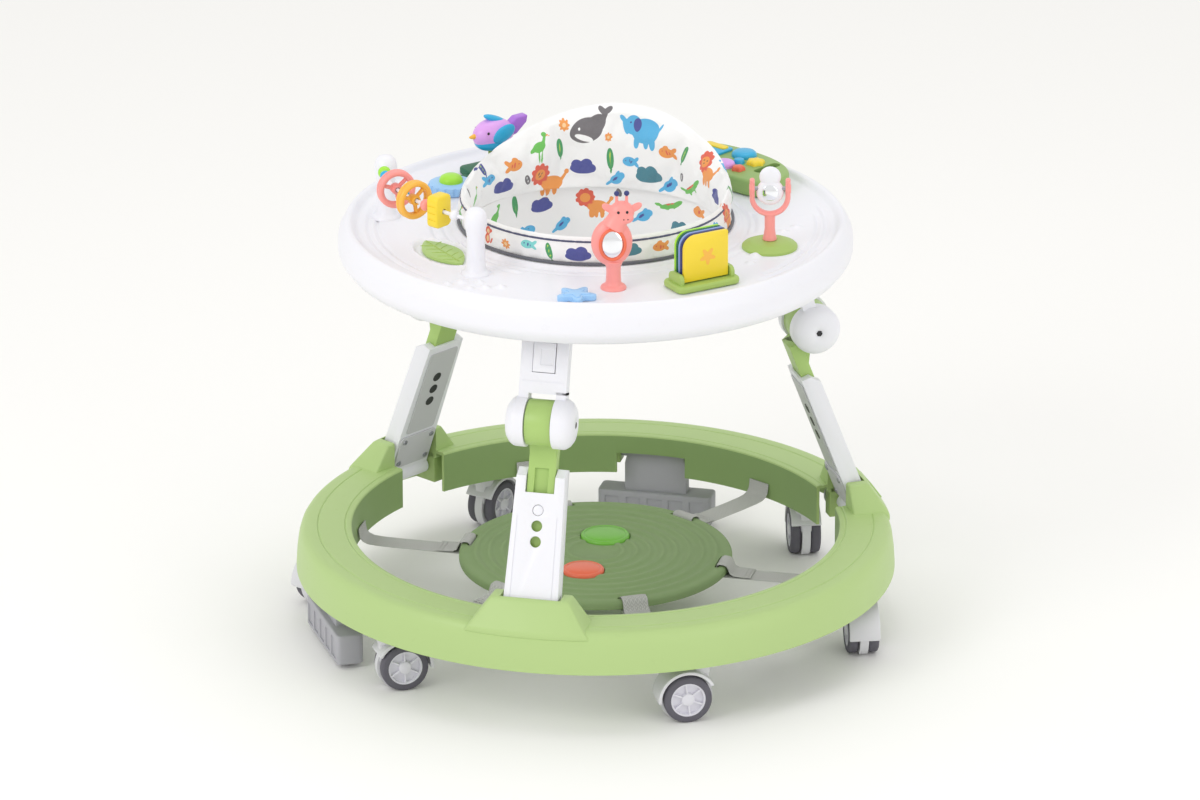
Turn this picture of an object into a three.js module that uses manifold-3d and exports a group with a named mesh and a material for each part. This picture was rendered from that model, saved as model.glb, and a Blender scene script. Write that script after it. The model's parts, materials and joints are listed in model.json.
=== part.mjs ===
// Round folding baby walker with an activity tray. Millimetres, +Z up, origin on the floor at the middle
// of the base ring. The child faces -Y. Angles around the walker start at the front and turn towards +X.
import * as THREE from 'three';
import { mergeVertices } from 'three/addons/utils/BufferGeometryUtils.js';
import Module from 'manifold-3d';

const wasm = await Module();
wasm.setup();

// Driving dimensions
const RING = { outer: 350, inner: 285, bottom: 73, top: 122, wall: 3.5 };
const LEG_ANGLES = [0, 120, -120];
const FOOT_ANGLES = [180, -60, 60];
const CASTER_ANGLES = [35.5, 88.5, 141.5, -35.5, -88.5, -141.5];
const CASTER_HEADINGS = [115, 200, 20, -60, 150, -20];
const SWIVEL_RADIUS = 317.5;
const WHEEL = { radius: 28, width: 12, gap: 12, axle: 3, trail: 17 };
const LEG = { pivotR: 316, pivotZ: 100, lean: 21.1, kneeR: 260, kneeZ: 343, hipR: 220, hipZ: 476 };
const SHEATH = { outer: -17.8, inner: 3.2, bottomWidth: 66, topWidth: 56, faceTop: 166.8, top: 195 };
const BAR = { width: 32, channel: 34, front: -14.6, back: 0, bottom: 46, travel: 36 };
const HOLE = { radius: 6.5, first: 147, pitch: 18, count: 3 };
const DRUM = { radius: 26.5, width: 30 };
const CHEEK = { radius: 29, rim: 20, inner: 16, outer: 40 };
const ARM = { width: 55, thickness: 16 };
const PIN = { radius: 4, clearance: 0.3 };
const LOCK_DISC = { radius: 17, from: 52.4, to: 59.4 };
const TRAY = { outer: 289, bulge: 297.5, foot: 286, top: 499, deck: 492, bottom: 450, opening: 158 };
const SEAT = { outer: 156, inner: 148, base: 487, front: 531, back: 588, slingBottom: 362 };
const MAT = { radius: 160, bottom: 74, top: 85 };
const DECK = TRAY.deck + 0.4;
const WHITE = 0xf6f6fa, GREEN = 0xb1c972, PALE_GREEN = 0xbbd490, GREY = 0x8e8e92, PINK = 0xf8bab5;
const YELLOW = 0xedd94d, ORANGE = 0xe7755a, DARK = 0x5d5b65;

const walker = new THREE.Group();
const radians = THREE.MathUtils.degToRad;

// Solids: every shape is a three.js geometry, and manifold-3d joins and cuts them
function signedVolume(positions, triangles) {
  const a = new THREE.Vector3(), b = new THREE.Vector3(), c = new THREE.Vector3();
  let sum = 0;
  for (let i = 0; i < triangles.length; i += 3) {
    a.fromArray(positions, triangles[i] * 3);
    b.fromArray(positions, triangles[i + 1] * 3);
    c.fromArray(positions, triangles[i + 2] * 3);
    sum += a.dot(b.cross(c));
  }
  return sum;
}

function solid(geometry) {
  geometry.deleteAttribute('normal');
  geometry.deleteAttribute('uv');
  const merged = mergeVertices(geometry);
  const vertProperties = new Float32Array(merged.attributes.position.array);
  const triVerts = new Uint32Array(merged.index.array);
  if (signedVolume(vertProperties, triVerts) < 0) triVerts.reverse();
  return new wasm.Manifold(new wasm.Mesh({ numProp: 3, vertProperties, triVerts }));
}

function geometryOf(body) {
  const mesh = body.getMesh();
  const geometry = new THREE.BufferGeometry();
  geometry.setAttribute('position', new THREE.BufferAttribute(mesh.vertProperties, 3));
  geometry.setIndex(new THREE.BufferAttribute(mesh.triVerts, 1));
  geometry.computeVertexNormals();
  return geometry;
}

function add(parent, name, body, color, roughness = 0.45, metalness = 0) {
  const material = new THREE.MeshStandardMaterial({ color, roughness, metalness });
  const mesh = new THREE.Mesh(geometryOf(body), material);
  mesh.name = name;
  parent.add(mesh);
}

function group(parent, { at = [0, 0, 0], turn = [0, 0, 0] }) {
  const made = new THREE.Group();
  made.position.set(...at);
  made.rotation.set(...turn.map(radians));
  parent.add(made);
  return made;
}

const join = (first, ...rest) => rest.reduce((sum, next) => sum.add(next), first);
const cut = (first, ...rest) => rest.reduce((sum, next) => sum.subtract(next), first);

function block([x0, x1], [y0, y1], [z0, z1]) {
  const geometry = new THREE.BoxGeometry(x1 - x0, y1 - y0, z1 - z0);
  return solid(geometry.translate((x0 + x1) / 2, (y0 + y1) / 2, (z0 + z1) / 2));
}

function rod(axis, radius, [from, to], [a, b] = [0, 0], sides = 16, endRadius = radius) {
  const geometry = new THREE.CylinderGeometry(endRadius, radius, to - from, sides);
  geometry.translate(0, (from + to) / 2, 0);
  if (axis === 'x') return solid(geometry.rotateZ(-Math.PI / 2).translate(0, a, b));
  if (axis === 'y') return solid(geometry.translate(a, 0, b));
  return solid(geometry.rotateX(Math.PI / 2).translate(a, b, 0));
}

function lathe(points, segments = 48) {
  const profile = points.map(([r, z]) => new THREE.Vector2(r, z));
  return solid(new THREE.LatheGeometry(profile, segments).rotateX(Math.PI / 2));
}

const closed = (points) => [...points, points[0]];
const PLANES = {
  top: [[1, 0, 0], [0, 1, 0], [0, 0, 1]],
  side: [[0, 1, 0], [0, 0, 1], [1, 0, 0]],
  front: [[1, 0, 0], [0, 0, 1], [0, -1, 0]],
};

// A prism of an outline: plane top runs up Z, side is an outline in Y and Z that runs along X,
// and front is an outline in X and Z that runs towards -Y
function prism(outline, plane, from, to) {
  const shape = outline instanceof THREE.Shape ? outline
    : new THREE.Shape(outline.map(([a, b]) => new THREE.Vector2(a, b)));
  const geometry = new THREE.ExtrudeGeometry(shape, { depth: to - from, bevelEnabled: false, curveSegments: 8 });
  const axes = PLANES[plane].map((axis) => new THREE.Vector3(...axis));
  return solid(geometry.translate(0, 0, from).applyMatrix4(new THREE.Matrix4().makeBasis(...axes)));
}

function ball(radius, at, squash = [1, 1, 1], sides = 16) {
  const geometry = new THREE.SphereGeometry(radius, sides, sides / 2).rotateX(Math.PI / 2);
  return solid(geometry.scale(...squash).translate(...at));
}

function sweep(points, radius, steps, sides) {
  const section = new THREE.Shape();
  section.absarc(0, 0, radius, 0, Math.PI * 2);
  const path = new THREE.CatmullRomCurve3(points.map((point) => new THREE.Vector3(...point)));
  return solid(new THREE.ExtrudeGeometry(section, { steps, extrudePath: path, curveSegments: sides / 2 }));
}

function turned(body, degrees) {
  return body.rotate([0, 0, degrees]);
}

// Base ring: a hollow lathe shell with raised leg brackets, caster sockets and foot notches
function ringShell() {
  const { outer, inner, bottom, top, wall } = RING;
  return lathe(closed([
    [outer, bottom], [outer - 3, 103], [outer - 6, 118], [outer - 11, top], [inner, top], [inner, bottom],
    [inner + wall, bottom], [inner + wall, top - wall], [outer - 13, top - wall], [outer - 7, 103],
    [outer - wall, bottom],
  ]), 60);
}

function legBracket() {
  const hood = prism([[-78, 119], [-44, 151], [44, 151], [78, 119]], 'front', 300, 343);
  const slope = prism([[-355, 100], [-349, 119], [-323, 152], [-290, 152], [-290, 100]], 'side', -90, 90);
  const cheeks = block([-52, 52], [-345, -298], [80, 120]);
  return join(hood.intersect(slope), cheeks);
}

function legSlot() {
  const half = SHEATH.bottomWidth / 2 + 2;
  const outline = [[-262, 60], [-339, 60], [-339, 104], [-335, 109], [-331.2, 116], [-322, 141], [-316.5, 158],
    [-262, 158]];
  const pinHole = rod('x', PIN.radius + PIN.clearance, [-60, 60], [-LEG.pivotR, LEG.pivotZ]);
  return join(prism(outline, 'side', -half, half), pinHole);
}

function casterSocket() {
  return cut(rod('z', 11, [78, RING.top - 2], [0, -SWIVEL_RADIUS], 14),
    rod('z', 6.8, [70, 112], [0, -SWIVEL_RADIUS], 12));
}

function footMount() {
  const ear = (x) => block([x - 3, x + 3], [-326, -306], [76, RING.top - 2]);
  const holes = rod('x', PIN.radius + PIN.clearance, [-60, 60], [-316, 86]);
  return cut(join(ear(-46), ear(46)), holes);
}

function buildBaseRing() {
  let ring = ringShell();
  LEG_ANGLES.forEach((angle) => { ring = ring.add(turned(legBracket(), angle)); });
  CASTER_ANGLES.forEach((angle) => { ring = ring.add(turned(casterSocket(), angle)); });
  FOOT_ANGLES.forEach((angle) => { ring = ring.add(turned(footMount(), angle)); });
  LEG_ANGLES.forEach((angle) => { ring = ring.subtract(turned(legSlot(), angle)); });
  const footNotch = block([-42, 42], [-300, -270], [60, 98]);
  FOOT_ANGLES.forEach((angle) => { ring = ring.subtract(turned(footNotch, angle)); });
  add(walker, 'base_ring', ring, PALE_GREEN);
}

// Play mat, hung on a webbing harness
const MAT_BUTTONS = [['mat_button_green', 48, 0x7cb44b, 29], ['mat_button_orange', -63, ORANGE, 25]];

function buildPlayMat() {
  const { radius, bottom, top } = MAT;
  let mat = lathe([[0, bottom], [radius - 3, bottom], [radius, bottom + 3], [radius, top - 2], [radius - 4, top],
    [0, top]], 40);
  MAT_BUTTONS.forEach(([, y, , r]) => { mat = mat.subtract(rod('z', r + 0.5, [top - 7, top + 5], [0, y], 24)); });
  for (let i = 0; i < 6; i += 1) {
    const slot = block([-17, 17], [-radius + 9, -radius + 14], [bottom - 5, top + 5]);
    mat = mat.subtract(turned(slot, 30 + i * 60));
  }
  add(walker, 'play_mat', mat, 0x849a6b, 0.7);
  MAT_BUTTONS.forEach(([name, y, color, r]) => {
    const dome = lathe([[0, top - 3], [r, top - 3], [r, top + 1], [r - 3, top + 4], [0, top + 6]], 24);
    add(walker, name, dome.translate([0, y, 0]), color);
  });
}

function buildMatWebbing() {
  const hoop = lathe(closed([[118, 71.4], [138, 71.4], [138, 73.2], [118, 73.2]]), 24);
  const outline = [[-128, 71.4], [-270, 71.4], [-282.5, 76], [-283.6, 92], [-281.4, 92], [-280.8, 78], [-269, 73.2],
    [-128, 73.2]];
  let harness = hoop;
  for (let i = 0; i < 6; i += 1) harness = harness.add(turned(prism(outline, 'side', -15, 15), 30 + i * 60));
  add(walker, 'mat_webbing', harness, 0xa5a6a1, 0.9);
}

// Telescopic legs. In a sheath group Z runs up the sheath and -Y is its outer face.
const KNEE = (() => {
  const out = LEG.kneeR - LEG.pivotR, up = LEG.kneeZ - LEG.pivotZ, lean = radians(LEG.lean);
  return { y: -(out * Math.cos(lean) + up * Math.sin(lean)), z: up * Math.cos(lean) - out * Math.sin(lean) };
})();
const ARM_LENGTH = Math.hypot(LEG.kneeR - LEG.hipR, LEG.hipZ - LEG.kneeZ);
const ARM_LEAN = Math.atan2(LEG.kneeR - LEG.hipR, LEG.hipZ - LEG.kneeZ) * 180 / Math.PI;

function sheathSolid() {
  const { outer, inner, bottomWidth, topWidth, faceTop, top } = SHEATH;
  const [low, high] = [bottomWidth / 2, topWidth / 2];
  let body = prism([[-low, -9], [-high, top], [high, top], [low, -9]], 'front', -inner, -outer);
  body = body.add(rod('x', 9, [-low, low], [0, 0]));
  const half = BAR.channel / 2;
  const channel = block([-half, half], [BAR.front - 0.4, BAR.back + 0.4], [9.5, top + 5]);
  const notch = block([-half, half], [outer - 5, BAR.front], [faceTop, top + 5]);
  const kneeSweep = rod('x', CHEEK.radius + 2, [-60, 60], [KNEE.y, KNEE.z - BAR.travel], 24);
  body = cut(body, channel, notch, kneeSweep, rod('x', PIN.radius + PIN.clearance, [-60, 60]));
  for (let i = 0; i < HOLE.count; i += 1) {
    body = body.subtract(rod('y', HOLE.radius, [outer - 5, BAR.front + 1], [0, HOLE.first - i * HOLE.pitch]));
  }
  return body;
}

function sliderSolid() {
  const half = BAR.width / 2;
  const bar = block([-half, half], [BAR.front, BAR.back], [BAR.bottom, KNEE.z - 12]);
  const groove = block([-8, 8], [BAR.front - 1, BAR.front + 4], [BAR.bottom - 1, HOLE.first + BAR.travel + 12]);
  const web = [[BAR.front, 207], [BAR.back, 207], [BAR.back, KNEE.z - 12], [KNEE.y, KNEE.z]];
  const neck = prism(web, 'side', -DRUM.width / 2, DRUM.width / 2);
  const drum = rod('x', DRUM.radius, [-DRUM.width / 2, DRUM.width / 2], [KNEE.y, KNEE.z], 24);
  return cut(join(bar.subtract(groove), neck, drum),
    rod('x', PIN.radius + PIN.clearance, [-60, 60], [KNEE.y, KNEE.z]));
}

// In an arm group the knee is the origin and Z runs up to the hip under the tray
function armSolid() {
  const half = ARM.width / 2, thick = ARM.thickness / 2;
  const outline = [[-half, 33], [-half, ARM_LENGTH], [half, ARM_LENGTH], [half, 33]];
  const plate = prism(outline, 'front', -thick, thick);
  const tine = (side) => {
    const [from, to] = side > 0 ? [CHEEK.inner, half] : [-half, -CHEEK.inner];
    return join(rod('x', CHEEK.radius, [from, to], [0, 0], 18), block([from, to], [-thick, thick], [0, 36]));
  };
  const hip = rod('x', 9, [-half, half], [0, ARM_LENGTH], 12);
  const trunnion = rod('x', 3, [-half - 5, half + 5], [0, ARM_LENGTH], 10);
  const latchPocket = block([-13.5, 13.5], [-thick - 5, -thick + 5], [57, 92]);
  return cut(join(plate, tine(1), tine(-1), hip, trunnion), latchPocket,
    rod('x', PIN.radius + PIN.clearance, [-60, 60]));
}

// The knee pin carries a domed cap on each end, outside the arm's two tines
function kneePin() {
  const at = [KNEE.y, KNEE.z], inner = ARM.width / 2 + 0.3;
  return join(rod('x', PIN.radius, [-inner - 1, inner + 1], at, 8),
    rod('x', CHEEK.radius, [inner, CHEEK.outer], at, 18, CHEEK.rim),
    rod('x', CHEEK.rim, [-CHEEK.outer, -inner], at, 18, CHEEK.radius));
}

function buildLeg(angle, number) {
  const leg = group(walker, { turn: [0, 0, angle] });
  const pivotAt = [0, -LEG.pivotR, LEG.pivotZ];
  const lower = group(leg, { at: pivotAt, turn: [-LEG.lean, 0, 0] });
  const { radius, from, to } = LOCK_DISC;
  const pivotPin = join(rod('x', PIN.radius, [-to, to]), rod('x', radius, [from, to]), rod('x', radius, [-to, -from]));
  add(lower, `leg_pivot_pin_${number}`, pivotPin, GREY, 0.3, 0.9);
  add(lower, `leg_sheath_${number}`, sheathSolid(), WHITE);
  const button = join(rod('y', HOLE.radius - 0.5, [SHEATH.outer - 1.2, BAR.front + 0.6], [0, HOLE.first]));
  add(lower, `height_button_${number}`, button, WHITE);
  add(lower, `leg_slider_${number}`, sliderSolid(), GREEN);
  add(lower, `knee_pin_${number}`, kneePin(), WHITE);
  const upper = group(leg, { at: [0, -LEG.kneeR, LEG.kneeZ], turn: [-ARM_LEAN, 0, 0] });
  add(upper, `upper_arm_${number}`, armSolid(), WHITE);
  const face = -ARM.thickness / 2;
  add(upper, `arm_latch_${number}`, block([-13, 13], [face - 0.5, face + 1.2], [57.5, 91.5]), WHITE);
}

// Twin-wheel swivel casters and the stands that flip down between them
function buildCaster(angle, heading, number) {
  const { radius, width, gap, axle, trail } = WHEEL;
  const at = [SWIVEL_RADIUS * Math.sin(radians(angle)), -SWIVEL_RADIUS * Math.cos(radians(angle)), 0];
  const caster = group(walker, { at, turn: [0, 0, heading] });
  const half = gap / 2 + width;
  const fenderOutline = new THREE.Shape();
  fenderOutline.absarc(trail, radius, radius + 6, radians(-5), radians(150), false);
  fenderOutline.absarc(trail, radius, radius + 2, radians(150), radians(-5), true);
  const fender = prism(fenderOutline, 'side', -half, half);
  const web = rod('x', radius + 3, [-gap / 2 + 1, gap / 2 - 1], [trail, radius], 16);
  const neck = block([1 - gap / 2, gap / 2 - 1], [-9, 12], [34, 62]);
  const stem = rod('z', 6, [59, 108], [0, 0], 10);
  const collar = rod('z', 12, [59, 70], [0, 0], 12);
  const hood = cut(join(fender, web, neck, stem, collar), rod('x', axle + 0.5, [-60, 60], [trail, radius], 10),
    block([-60, 60], [-60, 90], [-5, 3]));
  add(caster, `caster_hood_${number}`, hood, 0xd7d6dc);
  const wheel = (from, to) => rod('x', radius, [from, to], [trail, radius], 24);
  const wheels = join(wheel(-half, -gap / 2), wheel(gap / 2, half), rod('x', axle, [-half + 1, half - 1], [trail, radius], 10));
  add(caster, `caster_wheels_${number}`, wheels, DARK, 0.8);
}

function buildFoot(angle, number, swing) {
  const spoke = group(walker, { turn: [0, 0, angle] });
  const foot = group(spoke, { at: [0, -316, 86], turn: [swing, 0, 0] });
  const pad = block([-70, 70], [-16, 16], [-80, -43.5]);
  const neck = prism([[-38, -45], [-38, -8], [-34, 6], [34, 6], [38, -8], [38, -45]], 'front', -9, 9);
  const pin = rod('x', PIN.radius, [-50, 50]);
  add(foot, `stand_foot_${number}`, join(pad, neck, pin), GREY, 0.7);
}

// Tray: a moulded shell with hip lugs for the arms
function hipLug(x) {
  const lug = block([x - 2, x + 2], [-LEG.hipR - 11, -LEG.hipR + 11], [LEG.hipZ - 11, TRAY.deck - 1.5]);
  return lug.subtract(rod('x', 9, [x - 5, x + 5], [-LEG.hipR, LEG.hipZ]));
}

function buildTray() {
  const { outer, bulge, foot, top, deck, bottom, opening } = TRAY;
  let tray = lathe(closed([
    [foot, bottom], [bulge - 1.5, bottom + 13], [bulge - 0.5, bottom + 34], [outer, top - 1], [outer - 6, top],
    [outer - 14, deck], [opening + 10, deck], [opening + 4, top - 2], [opening, top - 2], [opening, deck - 4],
    [outer - 12, deck - 4], [outer - 4, top - 6], [bulge - 5, bottom + 32], [bulge - 5.5, bottom + 15],
    [foot - 2, bottom + 4],
  ]), 48);
  const lugX = ARM.width / 2 + 4.5;
  LEG_ANGLES.forEach((angle) => {
    tray = join(tray, turned(hipLug(lugX), angle), turned(hipLug(-lugX), angle));
  });
  add(walker, 'tray', tray, WHITE);
}

// Seat: an upholstered rim that rises into the backrest, and a fabric sling with two leg holes
function seatTop(angle) {
  const away = Math.abs(THREE.MathUtils.euclideanModulo(angle + 180, 360) - 180);
  return SEAT.front + (SEAT.back - SEAT.front) * THREE.MathUtils.smoothstep(away, 62, 180) ** 1.4;
}

function buildSeatRim() {
  const steps = 36, positions = [], index = [];
  for (let i = 0; i < steps; i += 1) {
    const angle = i * 360 / steps, top = seatTop(angle);
    const thick = 8 + 12 * THREE.MathUtils.smoothstep(top, SEAT.front, SEAT.back);
    const ring = [[SEAT.outer, SEAT.base], [SEAT.outer, top - 4], [SEAT.outer - 3, top],
      [SEAT.outer - thick + 3, top], [SEAT.outer - thick, top - 4], [SEAT.outer - thick, SEAT.base]];
    ring.forEach(([r, z]) => positions.push(r * Math.sin(radians(angle)), -r * Math.cos(radians(angle)), z));
    ring.forEach((_, j) => {
      const next = (i + 1) % steps, k = (j + 1) % ring.length, n = ring.length;
      index.push(i * n + j, next * n + j, next * n + k, i * n + j, next * n + k, i * n + k);
    });
  }
  const geometry = new THREE.BufferGeometry();
  geometry.setAttribute('position', new THREE.Float32BufferAttribute(positions, 3));
  geometry.setIndex(index);
  add(walker, 'seat_rim', solid(geometry), WHITE, 0.9);
}

function slingBowl(radius, drop, lift) {
  const rim = SEAT.base - 0.6, steps = 5, outline = [[0, rim + lift], [radius, rim + lift]];
  for (let i = 0; i <= steps; i += 1) {
    const t = i * Math.PI / 2 / steps;
    outline.push([i < steps ? radius * Math.cos(t) ** 0.6 : 0, rim - drop * Math.sin(t) ** 0.8]);
  }
  return lathe(lift ? outline : outline.filter((_, i) => i !== 1), 20);
}

function buildSeatSling() {
  const depth = SEAT.base - 0.6 - SEAT.slingBottom;
  const legHole = (x) => ball(42, [x, -62, SEAT.slingBottom + 22], [1, 1, 1], 10);
  const bowl = cut(slingBowl(SEAT.inner + 3, depth, 0), slingBowl(SEAT.inner, depth - 4, 5));
  add(walker, 'seat_sling', cut(bowl, legHole(66), legHole(-66)), WHITE, 0.9);
}

// Tray toys. In a spoke group -Y points outwards and +X runs on around the tray.
const onTray = (angle) => group(walker, { turn: [0, 0, angle] });

function buildGiraffe() {
  const spoke = onTray(18.8), y = -220;
  const post = rod('z', 9, [DECK, 522], [0, y], 20, 8);
  const belly = ball(24, [-2, y, 548], [1, 0.5, 1.2], 14);
  const head = ball(15, [10, y, 582], [1, 0.75, 1], 12);
  const ears = [-6, 26].map((x) => ball(6, [x, y, 588], [1, 0.6, 1], 8));
  const horns = [4, 15].map((x) => rod('z', 3, [592, 611], [x, y], 8, 4));
  add(spoke, 'giraffe_toy', join(post, belly, head, ...ears, ...horns), PINK);
}

function buildFlipBook() {
  const spoke = onTray(43.8), y = -238;
  const base = block([-41, 41], [y - 21, y + 21], [DECK, DECK + 8]);
  const cheek = (x) => block([x - 2.5, x + 2.5], [y - 14, y + 14], [DECK + 7, DECK + 16]);
  add(spoke, 'flip_book_base', join(base, cheek(-33), cheek(33)), 0xb1c472);
  const page = (from, to) => {
    const bottom = DECK + 9.5, top = DECK + 64, corner = 16;
    const outline = [[-29, bottom], [-29, top - corner], [-24, top - 5], [-13, top], [29, top], [29, bottom]];
    return prism(outline, 'front', from, to);
  };
  add(spoke, 'flip_page_inner', page(-y - 13, -y - 0.4), 0x2f7d4f);
  add(spoke, 'flip_page_outer', page(-y + 0.4, -y + 10), YELLOW);
}

// The fork stands turned on its foot, so that the mirror faces the front
function buildMirror() {
  const spoke = onTray(80.8), y = -216, axle = 564, yokeZ = 554, yokeR = 17.5;
  const facing = (body) => turned(body.translate([0, -y, 0]), -67.3).translate([0, y, 0]);
  const base = lathe([[0, DECK], [32, DECK], [32, DECK + 5], [26, DECK + 9], [0, DECK + 10]], 32);
  add(spoke, 'mirror_base', base.translate([0, y, 0]), 0xb1c472);
  const yoke = new THREE.Shape();
  yoke.moveTo(-yokeR - 6, axle + 12).lineTo(-yokeR - 6, yokeZ);
  yoke.absarc(0, yokeZ, yokeR + 6, Math.PI, Math.PI * 2, false);
  yoke.lineTo(yokeR + 6, axle + 12).lineTo(yokeR, axle + 12).lineTo(yokeR, yokeZ);
  yoke.absarc(0, yokeZ, yokeR, 0, -Math.PI, true);
  yoke.lineTo(-yokeR, axle + 12);
  const stem = rod('z', 8, [DECK + 10.4, yokeZ - yokeR - 3], [0, y], 16, 6);
  const fork = join(prism(yoke, 'front', -y - 6, -y + 6), stem);
  add(spoke, 'mirror_fork', facing(cut(fork, rod('x', 3.3, [-30, 30], [y, axle]))), PINK);
  const disc = (z, r) => rod('y', r, [y - 5.5, y + 5.5], [0, z], 24);
  const pin = rod('x', 3, [-22, 22], [y, axle], 12);
  add(spoke, 'mirror_spinner', facing(join(disc(axle - 4, 16), disc(axle + 14, 12.6), pin)), WHITE, 0.2);
}

const MUSIC = { angle: 151, y: -229, height: 20, buttons: [[-8, -20, 15], [-14, 22, 13]] };

function buildMusicBox() {
  const spoke = onTray(MUSIC.angle), top = DECK + MUSIC.height, outline = [];
  for (let i = 0; i < 36; i += 1) {
    const c = Math.cos(i * Math.PI / 18), s = Math.sin(i * Math.PI / 18);
    const x = 92 * Math.sign(c) * Math.abs(c) ** 0.7, depth = 42 * Math.sign(s) * Math.abs(s) ** 0.7;
    outline.push([x, MUSIC.y + depth + x * x / 600]);
  }
  let box = prism(outline, 'top', DECK, top);
  box = box.subtract(block([-62, -50], [MUSIC.y - 26, MUSIC.y + 14], [DECK - 5, top + 5]));
  MUSIC.buttons.forEach(([x, y, r]) => {
    box = box.subtract(rod('z', r + 0.5, [top - 8, top + 5], [x, MUSIC.y + y], 24));
  });
  add(spoke, 'music_box', box, 0x87a35f);
  const colors = [0x38b0d8, 0xc79fd8];
  MUSIC.buttons.forEach(([x, y, r], i) => {
    const cap = lathe([[0, top - 4], [r, top - 4], [r, top + 2], [r - 4, top + 6], [0, top + 7]], 24);
    add(spoke, `music_button_${i + 1}`, cap.translate([x, MUSIC.y + y, 0]), colors[i]);
  });
}

// Bead arch: two posts joined by a bent wire that carries two rings and a slab
const ARCH = { from: -24.8, fromR: 219, to: -81.5, toR: 243, wire: 2.2, height: 556 };
const onCircle = (angle, r) => [r * Math.sin(radians(angle)), -r * Math.cos(radians(angle))];

function archPoint(t) {
  const [x, y] = onCircle(ARCH.from + (ARCH.to - ARCH.from) * t, ARCH.fromR + (ARCH.toR - ARCH.fromR) * t + 8 * Math.sin(Math.PI * t));
  return [x, y, ARCH.height + 6 * Math.sin(Math.PI * t)];
}

function buildBeadArch() {
  const post = (angle, r, top) => {
    const [x, y] = onCircle(angle, r);
    return join(rod('z', 11, [DECK, top], [x, y], 20, 10), ball(13.5, [x, y, top], [1, 1, 1.2], 12));
  };
  const route = [0, 0.2, 0.4, 0.6, 0.8, 1].map(archPoint);
  const arch = join(post(ARCH.from, ARCH.fromR, 556), post(ARCH.to, ARCH.toR, 552), sweep(route, ARCH.wire, 14, 6));
  add(walker, 'bead_arch', arch, WHITE);
  [['bead_slab_yellow', 0.22, YELLOW], ['bead_ring_orange', 0.4, 0xeeba62], ['bead_ring_pink', 0.58, PINK]]
    .forEach(([name, t, color]) => {
      const [x, y, z] = archPoint(t);
      const heading = Math.atan2(archPoint(t + 0.02)[1] - y, archPoint(t + 0.02)[0] - x);
      const hole = rod('x', ARCH.wire + 1.2, [-20, 20], [0, 0], 12);
      const body = name.includes('slab') ? block([-8, 8], [-13, 13], [-19, 19])
        : rod('x', 23, [-6, 6], [0, 0], 24);
      add(walker, name, cut(body, hole).rotate([0, 0, heading * 180 / Math.PI]).translate([x, y, z]), color);
    });
}

function buildBird() {
  const spoke = onTray(-132), y = -212;
  const board = block([-30, 34], [y - 26, y + 26], [DECK, DECK + 8]);
  const stalk = rod('z', 6, [DECK + 7, 520], [0, y], 16);
  const saucer = lathe([[0, DECK], [24, DECK], [27, DECK + 8], [22, DECK + 12], [0, DECK + 12]], 28);
  const dome = lathe([[0, DECK + 11], [14, DECK + 11], [12, DECK + 18], [0, DECK + 21]], 24);
  const dial = turned(join(saucer, dome).translate([0, -202, 0]), 22);
  const stem = block([20, 70], [y - 5, y + 5], [DECK, DECK + 5]);
  add(spoke, 'bird_perch', join(board, stalk, dial, stem), 0x7c9a50);
  const body = ball(23, [0, y, 540], [1.2, 0.75, 0.85], 14);
  const tail = prism([[16, 540], [46, 556], [44, 545], [18, 530]], 'front', -y - 7, -y + 7);
  const beak = rod('x', 2, [-36, -24], [y, 542], 10, 6);
  const bird = turned(join(body, tail, beak).translate([0, -y, 0]), 180).translate([0, y, 1]);
  add(spoke, 'bird_toy', bird, 0xe3a8ee);
}

buildBaseRing();
buildPlayMat();
buildMatWebbing();
LEG_ANGLES.forEach((angle, i) => buildLeg(angle, i + 1));
CASTER_ANGLES.forEach((angle, i) => buildCaster(angle, CASTER_HEADINGS[i], i + 1));
FOOT_ANGLES.forEach((angle, i) => buildFoot(angle, i + 1, i === 2 ? 80 : 0));
buildTray();
buildSeatRim();
buildSeatSling();
buildGiraffe();
buildFlipBook();
buildMirror();
buildMusicBox();
buildBeadArch();
buildBird();

export default walker;
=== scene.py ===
# Blender looks for the folding baby walker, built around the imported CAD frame. Metres, +Z up.
import json
import math

import bmesh
import bpy
import numpy as np
from mathutils import Matrix, Vector


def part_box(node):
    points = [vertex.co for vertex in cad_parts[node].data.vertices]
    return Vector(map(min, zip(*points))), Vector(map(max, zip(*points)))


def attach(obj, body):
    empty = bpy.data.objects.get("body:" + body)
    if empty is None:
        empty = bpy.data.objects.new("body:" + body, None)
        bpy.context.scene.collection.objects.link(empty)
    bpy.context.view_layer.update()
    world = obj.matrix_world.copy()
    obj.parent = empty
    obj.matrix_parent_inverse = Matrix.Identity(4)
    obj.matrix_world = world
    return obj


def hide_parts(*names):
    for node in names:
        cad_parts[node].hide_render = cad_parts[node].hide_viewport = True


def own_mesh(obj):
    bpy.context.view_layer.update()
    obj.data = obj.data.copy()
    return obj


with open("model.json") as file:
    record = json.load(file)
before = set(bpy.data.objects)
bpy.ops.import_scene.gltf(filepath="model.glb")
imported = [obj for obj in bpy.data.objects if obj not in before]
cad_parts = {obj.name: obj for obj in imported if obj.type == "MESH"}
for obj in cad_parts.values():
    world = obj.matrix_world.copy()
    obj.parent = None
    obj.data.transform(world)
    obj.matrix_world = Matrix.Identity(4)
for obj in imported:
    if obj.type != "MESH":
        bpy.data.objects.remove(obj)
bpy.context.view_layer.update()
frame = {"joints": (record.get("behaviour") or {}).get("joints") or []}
JOINTS = {joint["name"]: joint for joint in frame["joints"]}
MM = 0.001


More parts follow.
